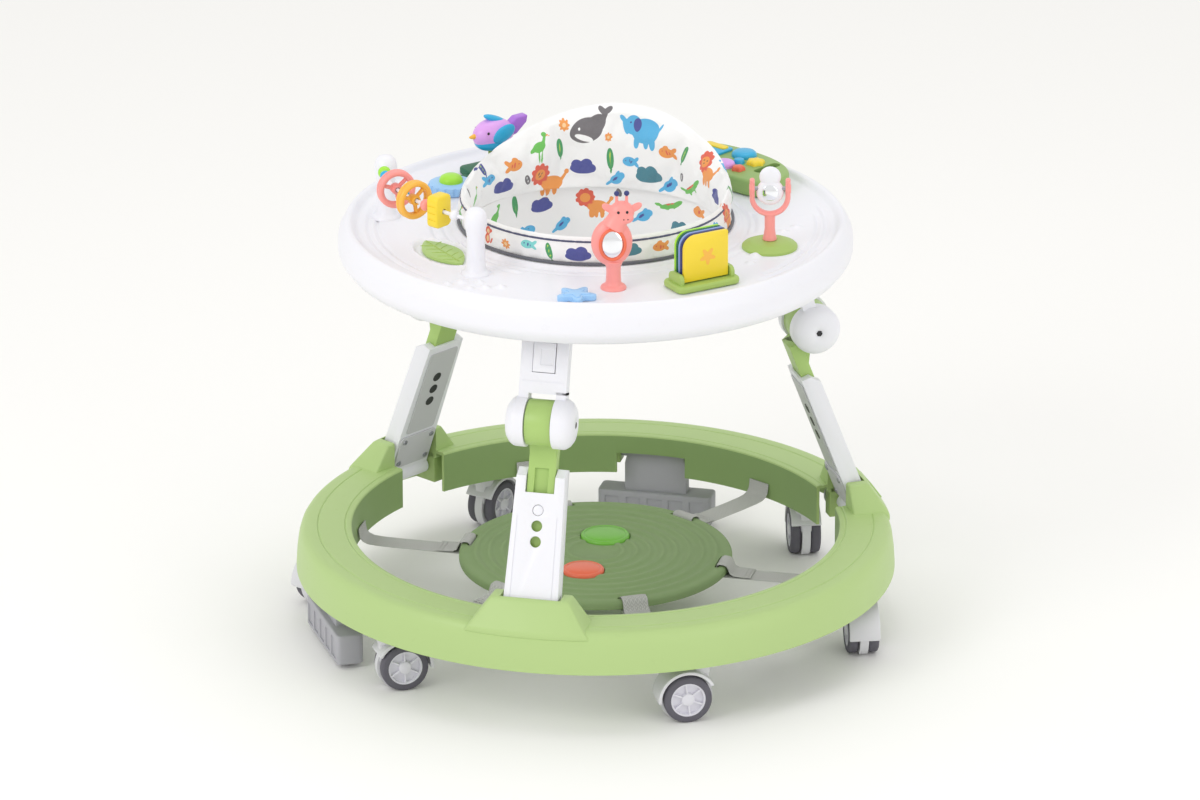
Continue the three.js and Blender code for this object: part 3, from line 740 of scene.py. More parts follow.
def caster_hood():
    arch = arc(TRAIL, WHEEL_R, 0.0345, -5, 152, 32) + arc(TRAIL, WHEEL_R, 0.0305, 152, -5, 32)
    fender = side_prism("fender", arch, -0.018, 0.018, HOOD_GREY)
    soften(fender, 0.0011, 2)
    web = rod("web", 0.0305, (-0.005, TRAIL, WHEEL_R), (0.005, TRAIL, WHEEL_R), HOOD_GREY, 64)
    neck = soften(block("neck", (-0.0065, -0.010, 0.034), (0.0065, 0.014, 0.0605), HOOD_GREY), 0.0018, 2)
    collar = lathe("collar", mm((0, 57), (12, 57), (12, 68.5), (10.6, 70), (0, 70)), HOOD_GREY, 40)
    fuse(fender, web, neck, collar)
    cut(fender, rod("bore", 0.0035, (-0.03, TRAIL, WHEEL_R), (0.03, TRAIL, WHEEL_R), HOOD_GREY, 24),
        block("ground", (-0.03, -0.03, -0.01), (0.03, 0.06, 0.003), HOOD_GREY))
    shade(fender, 35)
    return fender


def make_casters():
    hood = caster_hood()
    stem = rod("stem", 0.006, (0, 0, 0.066), (0, 0, 0.108), STEEL, 28)
    wheels = [wheel_parts(side) for side in (-1, 1)]
    axle = rod("axle", 0.003, (-0.017, 0, 0), (0.017, 0, 0), STEEL, 20)
    tyre = joined(wheels[0][0], wheels[1][0])
    hub = joined(wheels[0][1], wheels[1][1], axle)
    for number, (angle, heading) in enumerate(CASTERS, 1):
        at = spoke(angle) @ shift(0, -CASTER_RADIUS, 0) @ spoke(heading - angle)
        roll = at @ shift(0, TRAIL, WHEEL_R) @ Matrix.Rotation(0.4 * number, 4, "X")
        place(copy_of(hood, f"caster_shell_{number}", at), f"caster_{number}",
              f"caster_hood_{number}")
        place(copy_of(stem, f"caster_stem_{number}", at), f"caster_{number}")
        place(copy_of(tyre, f"caster_tyres_{number}", roll), f"caster_wheels_{number}",
              f"caster_wheels_{number}")
        place(copy_of(hub, f"caster_hubs_{number}", roll), f"caster_wheels_{number}")
    for master in (hood, stem, tyre, hub):
        bpy.data.objects.remove(master)


# ---------------------------------------------------------------- legs
LEAN = math.radians(21.1)
ARM_LEAN = math.atan2(HIP.y - KNEE.y, HIP.z - KNEE.z)
ARM_LENGTH = math.hypot(HIP.y - KNEE.y, HIP.z - KNEE.z)
LOWER = Matrix.Translation(PIVOT) @ Matrix.Rotation(-LEAN, 4, "X")
UPPER = Matrix.Translation(KNEE) @ Matrix.Rotation(-ARM_LEAN, 4, "X")
KNEE_Y, KNEE_Z = (LOWER.inverted() @ KNEE).y, (LOWER.inverted() @ KNEE).z
HOLES = [0.147, 0.129, 0.111]


def sheath_parts():
    body = front_prism("leg_sheath_shell", mm((-33, -9), (-28, 195), (28, 195), (33, -9)), -0.0032, 0.0178,
                       WHITE)
    fuse(body, rod("barrel", 0.009, (-0.033, 0, 0), (0.033, 0, 0), WHITE, 40))
    notch = [(-0.017, -0.022), (0.017, -0.022), (0.017, -0.0146), (-0.017, -0.0146)]
    cut(body, block("channel", (-0.017, -0.015, 0.0095), (0.017, 0.0004, 0.2), WHITE),
        prism("top_notch", notch, 0.1668, 0.2, WHITE),
        rod("knee_room", 0.031, (-0.06, KNEE_Y, KNEE_Z - 0.036), (0.06, KNEE_Y, KNEE_Z - 0.036), WHITE, 96))
    for z in HOLES:
        cut(body, rod("hole", 0.0065, (0, -0.023, z), (0, -0.0136, z), WHITE, 36))
    soften(body, 0.0011, 2, 34)
    for side in (-1, 1):
        foot, head = side * 0.0245, side * 0.0232
        line = [(foot - 0.0007, 0.018), (foot + 0.0007, 0.018), (head + 0.0007, 0.140), (head - 0.0007, 0.140)]
        cut(body, front_prism("side_line", line, 0.0171, 0.019, WHITE))
    shade(body, 35)
    plate = front_prism("leg_back_plate", mm(*rounded_box(-23, 66, 23, 186, 4)), -0.0046, -0.0031, BACK_GREY)
    clamp = front_prism("leg_clamp_plate", mm(*rounded_box(-29, 16, 29, 62, 5)), -0.0056, -0.0031, BACK_GREY)
    joined(soften(plate, 0.0005, 1), soften(clamp, 0.0009, 2))
    # Painted shade: thin black discs stand for the dark inside of the back plate's holes.
    dark = gather(rod("leg_back_hole_shade", 0.0062, (0, 0.0046, z), (0, 0.0049, z), BLACK, 32) for z in HOLES)
    head = mm((0, 0), (3.4, 0), (3.2, 1.1), (2.2, 1.5), (1.5, 1.5), (1.3, 0.6), (0, 0.6))
    screws = gather(moved(lathe("leg_screws", head, STEEL, 24), shift(x, 0.0056, z) @ spin("X", -90))
                    for x in (-0.022, 0.022) for z in (0.023, 0.055))
    return [(body, "leg_sheath", "white_plastic"), (plate, None, "caster_grey"), (dark, None, "tyre_dark"),
            (screws, None, "steel")]


def slider_parts():
    bar = block("leg_slider_bar", (-0.016, -0.0146, 0.046), (0.016, 0, KNEE_Z - 0.012), SLIDER_GREEN)
    cut(bar, block("groove", (-0.008, -0.0156, 0.045), (0.008, -0.0106, 0.195), SLIDER_GREEN))
    neck = side_prism("neck", [(-0.0146, 0.207), (0, 0.207), (0, KNEE_Z - 0.012), (KNEE_Y, KNEE_Z)], -0.015,
                      0.015, SLIDER_GREEN)
    drum = rod("drum", 0.0265, (-0.015, KNEE_Y, KNEE_Z), (0.015, KNEE_Y, KNEE_Z), SLIDER_GREEN, 72)
    fuse(bar, neck, drum)
    soften(bar, 0.001, 2, 34)
    return [(bar, "leg_slider", "leaf_green_plastic")]


ARM_HALF = 0.008


def arm_parts():
    half, thick = 0.0275, ARM_HALF
    end = ARM_LENGTH + 0.002
    arm = front_prism("upper_arm_shell", [(-half, 0.033), (-half, end), (half, end), (half, 0.033)], -thick,
                      thick, WHITE)
    for side in (-1, 1):
        low, high = sorted((side * 0.016, side * half))
        fuse(arm, block("tine", (low, -thick, 0), (high, thick, 0.036), WHITE),
             rod("disc", 0.029, (low, 0, 0), (high, 0, 0), WHITE, 72))
    fuse(arm, rod("hip", 0.009, (-half, 0, ARM_LENGTH), (half, 0, ARM_LENGTH), WHITE, 40))
    cut(arm, block("latch_pocket", (-0.0136, -thick - 0.005, 0.0568), (0.0136, -thick + 0.0068, 0.0922),
                   WHITE))
    soften(arm, 0.0012, 2, 34)
    for z in (0.047, 0.102):
        cut(arm, block("line", (-0.024, -thick - 0.001, z - 0.0006), (0.024, -thick + 0.0007, z + 0.0006),
                       WHITE))
    shade(arm, 35)
    trunnion = rod("hip_trunnion", 0.003, (-half - 0.005, 0, ARM_LENGTH), (half + 0.005, 0, ARM_LENGTH),
                   STEEL, 24)
    return [(arm, "upper_arm", "white_plastic"), (trunnion, None, "steel")]


def knee_parts():
    """The knee pin and its two domed caps, which stay with the lower leg."""
    dome = mm((0, 11.6), (4.2, 11.6), (4.8, 12.2), (12, 12.0), (20, 10.2), (25.5, 6.4), (28.3, 2.4),
              (29, 0), (29, -0.4), (0, -0.4))
    # Painted shade: a thin black hexagon on each cap stands for the dark inside of its hex socket.
    socket = [(0.0037 * math.cos(math.radians(60 * k)), 0.0037 * math.sin(math.radians(60 * k)))
              for k in range(6)]
    sides = []
    for side in (-1, 1):
        at = shift(side * 0.0279, KNEE_Y, KNEE_Z) @ spin("Y", 90 * side)
        cap = moved(lathe("knee_caps", dome, WHITE, 72, smooth=50), at)
        sides.append(joined(cap, moved(prism("hex_socket_shade", socket, 0.0114, 0.0121, BLACK), at)))
    caps = gather(sides)
    pin = rod("knee_pin_rod", 0.004, (-0.0285, KNEE_Y, KNEE_Z), (0.0285, KNEE_Y, KNEE_Z), STEEL, 28)
    return [(caps, "knee_pin", "white_plastic"), (pin, None, "steel")]


def pivot_pin():
    """The leg's pivot pin with a steel lock disc near each end."""
    pin = rod("leg_pivot_pin_rod", 0.004, (-0.0594, 0, 0), (0.0594, 0, 0), STEEL, 28)
    for side in (-1, 1):
        disc = rod("lock_disc", 0.0168, (side * 0.0526, 0, 0), (side * 0.0592, 0, 0), STEEL, 56)
        fuse(pin, soften(disc, 0.0008, 2))
    shade(pin, 35)
    return [(pin, "leg_pivot_pin", "steel")]


def latch_parts():
    face = -ARM_HALF
    latch = block("arm_latch_tab", (-0.0128, face - 0.0022, 0.0576), (0.0128, face + 0.0040, 0.0914), WHITE)
    cut(latch, block("step", (-0.0038, face - 0.004, 0.066), (0.0138, face - 0.0010, 0.084), WHITE))
    soften(latch, 0.0007, 2)
    return [(latch, "arm_latch", "white_plastic")]


def make_legs():
    button = lathe("height_button_cap", mm((0, 0), (6.1, 0), (6.1, 2.9), (5.6, 3.9), (4.4, 4.5), (2, 4.8),
                                           (0, 4.9)), WHITE, 36)
    moved(button, shift(0, -0.0140, HOLES[0]) @ spin("X", 90))
    plan = [(LOWER, "leg_sheath", sheath_parts()), (LOWER, "leg_slider", slider_parts()),
            (LOWER, "height_button", [(button, "height_button", "white_plastic")]),
            (LOWER, "leg_pivot_pin", pivot_pin()), (LOWER, "knee_pin", knee_parts()),
            (UPPER, "upper_arm", arm_parts()), (UPPER, "arm_latch", latch_parts())]
    for number, angle in enumerate(LEG_ANGLES, 1):
        for local, body, parts in plan:
            for part, node, slot in parts:
                made = copy_of(part, f"{part.name}_{number}", spoke(angle) @ local)
                place(made, f"{body}_{number}", f"{node}_{number}" if node else ())
    for _, _, parts in plan:
        for part, _, _ in parts:
            bpy.data.objects.remove(part)


# ---------------------------------------------------------------- tray
DECK = 0.492
OPENING = 0.1585
LEAF_AT = {"degrees": -47, "radius": 0.200}
TOY_BASE = 0.4924


def on_deck(degrees, radius):
    return radius * math.sin(math.radians(degrees)), -radius * math.cos(math.radians(degrees))


def groove(distance, half_width, depth):
    """A rounded channel: how far the deck goes down at that distance from its middle line."""
    return -depth * (1 - ramp(np.abs(distance), half_width * 0.35, half_width))


def deck_relief(x, y):
    """Height of the moulded deck above its flat level, in millimetres, at x and y in millimetres."""
    radius, angle = np.hypot(x, y), np.degrees(np.arctan2(x, -y))
    height = groove(radius - 176, 2.6, 1.2)
    for track, first, last in ((262, -118, -30), (252, -112, -34), (188, -78, -12), (266, 56, 118),
                               (256, 60, 112), (190, 40, 74), (184, 92, 116), (262, 150, 205),
                               (190, 158, 215)):
        turn = (angle - first) % 360
        span = (last - first) % 360
        share = ramp(np.minimum(turn, span - turn), 0, 3) * (turn < span)
        height += groove(radius - track, 3.4, 2.0) * share
    leaf_x, leaf_y = on_deck(LEAF_AT["degrees"], LEAF_AT["radius"] * 1000)
    turn = math.radians(LEAF_AT["degrees"] + 90)
    u = (x - leaf_x) * math.cos(turn) + (y - leaf_y) * math.sin(turn)
    v = -(x - leaf_x) * math.sin(turn) + (y - leaf_y) * math.cos(turn)
    oval = np.sqrt((u / 28) ** 2 + (v / 48) ** 2)
    height -= 3.0 * (1 - ramp(oval, 0.93, 1.0)) - 1.6 * np.exp(-((oval - 1.07) / 0.035) ** 2)
    for degrees, r, size in ((-24, 250, 6.5), (-19.5, 262, 5), (-16.5, 250, 5.5), (-26, 264, 4),
                             (-13, 240, 5), (-20, 238, 4), (66, 222, 5), (72, 214, 6), (100, 232, 6),
                             (96, 218, 5)):
        bx, by = on_deck(degrees, r)
        height += 3.6 * np.clip(1 - ((x - bx) ** 2 + (y - by) ** 2) / (1.5 * size) ** 2, 0, 1) ** 2
    for degrees, r, size in ((18.8, 220, 15), (-24.8, 219, 17), (-81.5, 243, 17), (-132, 212, 34),
                             (80.8, 216, 36)):
        bx, by = on_deck(degrees, r)
        away = np.hypot(x - bx, y - by)
        height += 0.9 * (1 - ramp(away, size, size + 3))
    return height


def make_tray():
    columns = 640
    rim = mm((158, 492), (158, 495.6), (158.6, 496.7), (160, 497), (162.4, 496.8), (163.6, 495.8),
             (165, 493.4), (167, 492.3), (169, 492))
    deck = [(r * MM, 0.492) for r in np.linspace(171, 274, 54)]
    lip = mm((275.6, 492.2), (277.6, 493.4), (280, 496.4), (282, 498.3), (284.4, 499), (286.8, 498.8),
             (288.6, 497.7), (290.4, 495.2), (293.4, 490), (295.8, 485.4), (297, 481.6), (297.4, 477),
             (297.3, 467), (296.4, 463), (293.6, 458.2), (288, 451.2), (286.6, 450.1), (285, 450.4),
             (284, 453))
    under = mm((291.5, 464.6), (292, 481), (284.6, 492.8), (277, 488), (250, 488), (200, 488), (170, 488),
               (158, 488))
    profile = rim + deck + lip + under
    turn = np.arange(columns) * math.tau / columns
    radius = np.array([r for r, _ in profile])[:, None]
    height = np.repeat(np.array([z for _, z in profile])[:, None], columns, 1)
    x, y = radius * np.sin(turn)[None], -radius * np.cos(turn)[None]
    rows = slice(len(rim), len(rim) + len(deck))
    height[rows] += deck_relief(x[rows] * 1000, y[rows] * 1000) * MM
    verts = np.stack([x, y, height], -1).reshape(-1, 3)
    tray = piece("tray_shell", verts, quads(len(profile), columns, True), WHITE, 50)
    place(tray, "tray", "tray")
    for number, angle in enumerate(LEG_ANGLES, 1):
        for side in (-1, 1):
            outline = mm((-231, 490), *arc(-220, 476, 11, 180, 360, 14), (-209, 490))
            lug = side_prism(f"hip_lug_{number}{'lr'[side > 0]}", outline, side * 0.032 - 0.002,
                             side * 0.032 + 0.002, WHITE)
            cut(lug, rod("bore", 0.0088, (side * 0.032 - 0.01, -0.22, 0.476), (side * 0.032 + 0.01, -0.22,
                    0.476), WHITE, 40))
            shade(lug, 35)
            at_spoke(lug, angle, "tray")
    ring = tube("seat_piping", [(OPENING * math.sin(a), -OPENING * math.cos(a), 0.4992)
                                for a in np.arange(160) * math.tau / 160], 0.0019, PIPING, 10, loop=True)
    rest = points_of(ring)
    give_cloth(ring, rest[:, 2], np.arctan2(rest[:, 0], -rest[:, 1]) * OPENING)
    place(ring, "tray")


def star_outline(outer, inner):
    """A five-pointed star with rounded points and hollows."""
    made, count = [], 60
    for k in range(count):
        turn = math.tau * k / count
        wave = (1 + math.cos(5 * turn)) / 2
        r = inner + (outer - inner) * wave ** 1.35
        made.append((r * math.sin(turn), -r * math.cos(turn)))
    return made


def make_plaques():
    star = prism("star_plaque", star_outline(0.0235, 0.0125), 0.4922, 0.4995, PALE_BLUE)
    soften(star, 0.0014, 3, 50)
    inner = prism("star_inner", star_outline(0.0165, 0.0085), 0.499, 0.5004, PALE_BLUE)
    joined(star, soften(inner, 0.0006, 2, 50))
    x, y = on_deck(8.6, 0.254)
    place(moved(star, shift(x, y, 0) @ spoke(20)), "tray")
    half = [(0.021 * math.sin(math.pi * t) ** 0.8, (t - 0.5) * 0.088) for t in np.linspace(0, 1, 28)]
    leaf = prism("leaf_plaque", half + [(-a, b) for a, b in half[-2:0:-1]], 0.4892, 0.4932, SLIDER_GREEN)
    soften(leaf, 0.0012, 2, 40)
    veins = tube("vein", [(0, -0.038, 0.4932), (0, 0.040, 0.4932)], 0.0009, TOY_GREEN, 8)
    for k in range(5):
        for side in (-1, 1):
            y = (k - 2.4) * 0.0135
            veins = joined(veins, tube("vein", [(0, y, 0.4932), (side * 0.007, y + 0.005, 0.4933),
                                                (side * 0.0135, y + 0.008, 0.4931)], 0.0006, TOY_GREEN, 6))
    joined(leaf, veins)
    x, y = on_deck(**LEAF_AT)
    place(moved(leaf, shift(x, y, 0) @ spoke(LEAF_AT["degrees"] + 90)), "tray")


# ---------------------------------------------------------------- toys
def make_giraffe():
    angle, y = 18.8, -0.220
    body = lathe("giraffe_body", mm((0, 492.4), (15, 492.4), (15, 494.2), (13.4, 496.4), (9.8, 498.2),
                                    (8.8, 501), (8.2, 512), (8.6, 519), (11, 526), (0, 530)), PINK, 48,
                 smooth=50)
    moved(body, shift(0, y, 0))
    belly = ball("belly", 0.0235, (-0.002, y, 0.548), (1, 0.5, 1.2), PINK)
    neck = tube("neck", [(0, y, 0.566), (0.004, y, 0.574), (0.008, y, 0.580)], [0.014, 0.012, 0.012], PINK,
                24)
    head = ball("head", 0.0145, (0.009, y, 0.583), (1, 0.75, 0.95), PINK)
    snout = ball("snout", 0.0085, (0.013, y - 0.0065, 0.5785), (1.1, 0.7, 0.8), PINK)
    fuse(body, belly, neck, head, snout)
    for x, lean in ((-0.0065, -32), (0.0255, 32)):
        ear = ball("ear", 0.0062, (0, 0, 0), (1.25, 0.45, 0.72), PINK)
        moved(ear, shift(x, y, 0.589) @ spin("Y", -lean))
        fuse(body, ear)
    horns = (0.0035, 0.0148)
    for x in horns:
        fuse(body, tube("horn", [(x, y, 0.593), (x, y, 0.603)], 0.0019, PINK, 14))
    shade(body, 60)
    change = body.modifiers.new("round", "REMESH")
    change.mode, change.voxel_size = "VOXEL", 0.0008
    baked(body)
    smooth = body.modifiers.new("smooth", "SMOOTH")
    smooth.factor, smooth.iterations = 0.5, 5
    baked(body)
    shade(body, 80)
    at_spoke(body, angle, "giraffe_toy", "giraffe_toy")
    route = [(-0.002 + 0.0142 * math.cos(a), y - 0.0112 + 0.0015 * math.sin(a) ** 2,
              0.548 + 0.0178 * math.sin(a)) for a in np.arange(48) * math.tau / 48]
    rim = tube("giraffe_mirror_rim", route, 0.0017, ORANGE, 12, loop=True)
    at_spoke(rim, angle, "giraffe_toy")
    glass = ball("giraffe_mirror", 0.0140, (-0.002, y - 0.0082, 0.548), (1, 0.3, 1.25), MIRROR)
    at_spoke(glass, angle, "giraffe_toy")
    marks = ((0.0045, 0.5865, 0.0015, 0.0106), (0.0145, 0.5865, 0.0015, 0.0103),
             (0.0105, 0.5785, 0.0007, 0.0125), (0.0152, 0.5785, 0.0007, 0.0123))
    eyes = gather(ball("giraffe_eyes", r, (x, y - depth, z), (1, 0.5, 1.15), BLACK, 12)
                  for x, z, r, depth in marks)
    at_spoke(eyes, angle, "giraffe_toy")
    tips = gather(ball("giraffe_horn_tips", 0.0031, (x, y, 0.6058), (1, 1, 1), NAVY, 14) for x in horns)
    at_spoke(tips, angle, "giraffe_toy")


def make_flip_book():
    angle, y = 43.8, -0.238
    base = prism("flip_book_foot", rounded_box(-0.041, y - 0.021, 0.041, y + 0.021, 0.009), TOY_BASE,
                 0.5004, TOY_GREEN)
    soften(base, 0.0028, 3)
    for side in (-1, 1):
        outline = [(-14, 499)] + arc(-7, 505, 7, 180, 90, 6) + arc(7, 505, 7, 90, 0, 6) + [(14, 499)]
        cheek = side_prism("cheek", [(y + v / 1000, w / 1000) for v, w in outline], side * 0.033 - 0.0025,
                           side * 0.033 + 0.0025, TOY_GREEN)
        fuse(base, soften(cheek, 0.0008, 2, 40))
    shade(base, 35)
    at_spoke(base, angle, "tray", "flip_book_base")
    outline = [(0.029, 0.5019), (0.029, 0.5535)] + arc(0.0265, 0.5539, 0.0025, 0, 90, 4)
    outline += arc(-0.013, 0.5404, 0.016, 90, 180, 10) + [(-0.029, 0.5019)]
    leaves = [("flip_page_inner", 0.2252, 0.2286, LIME, "toy_green"),
              ("flip_page_inner", 0.2297, 0.2331, DARK_GREEN, "toy_green"),
              ("flip_page_inner", 0.2342, 0.2376, PERIWINKLE, "blue_plastic"),
              ("flip_page_outer", 0.2384, 0.2420, NAVY, "blue_plastic"),
              ("flip_page_outer", 0.2434, 0.2480, YELLOW, "yellow_plastic")]
    hubs = {"flip_page_inner": (0.2252, 0.2376), "flip_page_outer": (0.2384, 0.2480)}
    for number, (body, low, high, material, slot) in enumerate(leaves, 1):
        page = soften(front_prism(f"flip_leaf_{number}", outline, low, high, material), 0.0008, 2)
        at_spoke(page, angle, body, body if low == hubs[body][0] else ())
    for body, (low, high) in hubs.items():
        spine = block(body + "_spine", (-0.029, -high + 0.0003, 0.5021), (0.029, -low - 0.0003, 0.5062),
                      TOY_GREEN)
        at_spoke(soften(spine, 0.0006, 2), angle, body)
    picture = prism("flip_leaf_star", star_outline(0.0105, 0.0052), 0.2478, 0.2483, AMBER)
    moved(picture, shift(0.002, 0, 0.529) @ UPRIGHT)
    at_spoke(picture, angle, "flip_page_outer")


def turned_about(y, degrees):
    """A turn about the upright line through y, for a toy that doesn't face straight out."""
    return shift(0, y, 0) @ spoke(degrees) @ shift(0, -y, 0)


MIRROR_AXLE = 0.564
MIRROR_LOBE = 0.5602


def make_mirror():
    angle, y = 80.8, -0.216
    facing = turned_about(y, -67.3)
    base = lathe("mirror_foot", mm((0, 492.4), (31.4, 492.4), (32, 493.2), (31.8, 495.6), (30, 497.4),
                                   (26, 498.2), (24, 500), (19, 501.8), (10, 502.3), (0, 502.4)), TOY_GREEN,
                 96, smooth=40)
    at_spoke(moved(base, shift(0, y, 0)), angle, "tray", "mirror_base")
    stem = lathe("mirror_fork_arms", mm((0, 502.8), (8, 502.8), (8, 505), (7, 508), (6, 516), (6, 533),
                                        (0, 533)), PINK, 40)
    moved(stem, shift(0, y, 0))
    steps = [(-20.5, 574.5), (-20.5, 566)] + arc(0, 554, 20.5, 180, 360, 28) + [(20.5, 566), (20.5, 574.5)]
    route = [(a * MM, y, b * MM) for a, b in steps]
    yoke = tube("yoke", route, 0.003, PINK, 20)
    moved(yoke, shift(0, y, 0) @ Matrix.Diagonal((1, 1.9, 1, 1)) @ shift(0, -y, 0))
    for side in (-1, 1):
        boss = rod("boss", 0.0056, (side * 0.0176, y, MIRROR_AXLE), (side * 0.0238, y, MIRROR_AXLE), PINK,
                   32)
        fuse(yoke, soften(boss, 0.0008, 2))
        fuse(yoke, ball("tip", 0.0030, (side * 0.0205, y, 0.5742), (1, 1.9, 0.7), PINK, 14))
    fuse(stem, yoke)
    shade(stem, 50)
    at_spoke(moved(stem, facing), angle, "mirror_fork", "mirror_fork")
    low = ball("mirror_lobes", 0.0158, (0, y, MIRROR_LOBE), (1, 0.36, 1), WHITE, 28)
    high = ball("lobe", 0.0124, (0, y, 0.5782), (1, 0.40, 1), WHITE, 28)
    fuse(low, high)
    shade(low, 50)
    at_spoke(moved(low, facing), angle, "mirror_spinner", "mirror_spinner")
    disc = mm((0, 0), (9.2, 0), (9.2, 0.5), (8.4, 1.0), (0, 1.3))
    for face, side_name in ((-1, "front"), (1, "back")):
        glass = lathe(f"mirror_glass_{side_name}", disc, MIRROR, 48, smooth=50)
        moved(glass, shift(0, y + face * 0.0048, MIRROR_LOBE) @ spin("X", -90 * face))
        at_spoke(moved(glass, facing), angle, "mirror_spinner")
    axle = rod("mirror_axle", 0.0026, (-0.0205, y, MIRROR_AXLE), (0.0205, y, MIRROR_AXLE), STEEL, 20)
    at_spoke(moved(axle, facing), angle, "mirror_spinner")


def dome_button(name, x, y, radius, top, rise, material, petals=0):
    """A rounded push button; petals gives it a flower outline."""
    profile = [(0, -0.004), (radius, -0.004), (radius, rise * 0.35), (radius - 0.0008, rise * 0.62),
               (radius * 0.82, rise * 0.86), (radius * 0.5, rise * 0.97), (0, rise)]
    made = lathe(name, profile, material, 72, smooth=50)
    if petals:
        points = points_of(made)
        turn = np.arctan2(points[:, 1], points[:, 0])
        points[:, :2] *= (0.90 + 0.10 * np.cos(petals * turn))[:, None]
        set_points(made, points)
    return moved(made, shift(x, y, top))


def make_music_box():
    angle, y, top = 151, -0.229, 0.5124
    outline = []
    for k in range(120):
        c, s = math.cos(math.tau * k / 120), math.sin(math.tau * k / 120)
        x = 0.092 * math.copysign(abs(c) ** 0.7, c)
        outline.append((x, y + 0.042 * math.copysign(abs(s) ** 0.7, s) + x * x / 0.6))
    box = prism("music_box_shell", outline, TOY_BASE, top, MUSIC_GREEN)
    soften(box, 0.0042, 4, 50)
    cut(box, prism("handle_slot", rounded_box(-0.062, y - 0.026, -0.050, y + 0.014, 0.0055), 0.48, 0.54,
                   MUSIC_GREEN))
    shade(box, 40)
    at_spoke(box, angle, "tray", "music_box")
    liner = prism("music_box_handle_liner", rounded_box(-0.0625, y - 0.0265, -0.0495, y + 0.0145, 0.006),
                  0.4926, 0.5060, DARK_GREEN)
    cut(liner, prism("hollow", rounded_box(-0.0605, y - 0.0245, -0.0515, y + 0.0125, 0.004), 0.48, 0.54,
                     DARK_GREEN))
    at_spoke(liner, angle, "tray")
    buttons = ((-0.008, -0.020, 0.0148, SKY, "blue_plastic"), (-0.014, 0.022, 0.0128, LILAC, "lilac_plastic"))
    for number, (x, dy, radius, material, slot_name) in enumerate(buttons, 1):
        cap = dome_button(f"music_button_cap_{number}", x, y + dy, radius, top, 0.0068, material)
        at_spoke(cap, angle, f"music_button_{number}", f"music_button_{number}")
    keys = ((-0.0365, -0.008, 0.0115, YELLOW, "yellow_plastic", 6),
            (-0.020, 0.0025, 0.0068, SKY, "blue_plastic", 0),
            (0.066, 0.004, 0.0100, PINK, "pink_plastic", 0),
            (0.010, 0.026, 0.0085, AMBER, "orange_plastic", 0),
            (-0.036, 0.022, 0.0085, ORANGE, "orange_plastic", 5))
    for number, (x, dy, radius, material, slot_name, petals) in enumerate(keys, 1):
        cap = dome_button(f"music_key_{number}", x, y + dy, radius, top, 0.0055, material, petals)
        at_spoke(cap, angle, "tray")
    pictures = (("plate", (0.014, -0.027), (0.054, 0.013), 0.0030, SKY, "blue_plastic"),
                ("bar", (0.018, -0.024), (0.050, -0.013), 0.0048, YELLOW, "yellow_plastic"),
                ("strip", (0.018, 0.001), (0.050, 0.010), 0.0048, WHITE, "white_plastic"))
    for name, low, high, rise, material, slot_name in pictures:
        plate = prism(f"music_picture_{name}", rounded_box(low[0], y + low[1], high[0], y + high[1], 0.004),
                      top - 0.0005, top + rise, material)
        at_spoke(soften(plate, 0.0012, 3), angle, "tray")
    # Painted shade: thin black discs stand for the dark inside of the speaker holes.
    holes = [(0.026 + 0.0045 * k, y + 0.020) for k in range(7)]
    speaker = gather(rod("music_speaker_hole_shade", 0.0011, (*at, top - 0.0002), (*at, top + 0.0002), BLACK, 12)
                     for at in holes)
    at_spoke(speaker, angle, "tray")


ARCH_POSTS = ((-24.8, 0.219, 0.556), (-81.5, 0.243, 0.552))


def arch_point(t):
    """The arch wire at a share of the way from the front post to the other."""
    angle, radius = -24.8 + (-81.5 + 24.8) * t, 0.219 + 0.024 * t + 0.008 * math.sin(math.pi * t)
    x, y = on_deck(angle, radius)
    return Vector((x, y, 0.556 + 0.006 * math.sin(math.pi * t)))


def arch_frame(t):
    """A frame on the arch wire with its X along the wire."""
    along = arch_point(t + 0.02) - arch_point(t)
    return Matrix.Translation(arch_point(t)) @ Matrix.Rotation(math.atan2(along.y, along.x), 4, "Z")


def loop_of_ring(name, x, material):
    points = [(x, 0.0192 * math.cos(a), 0.0192 * math.sin(a)) for a in np.arange(64) * math.tau / 64]
    return tube(name, points, 0.0035, material, 20, loop=True)


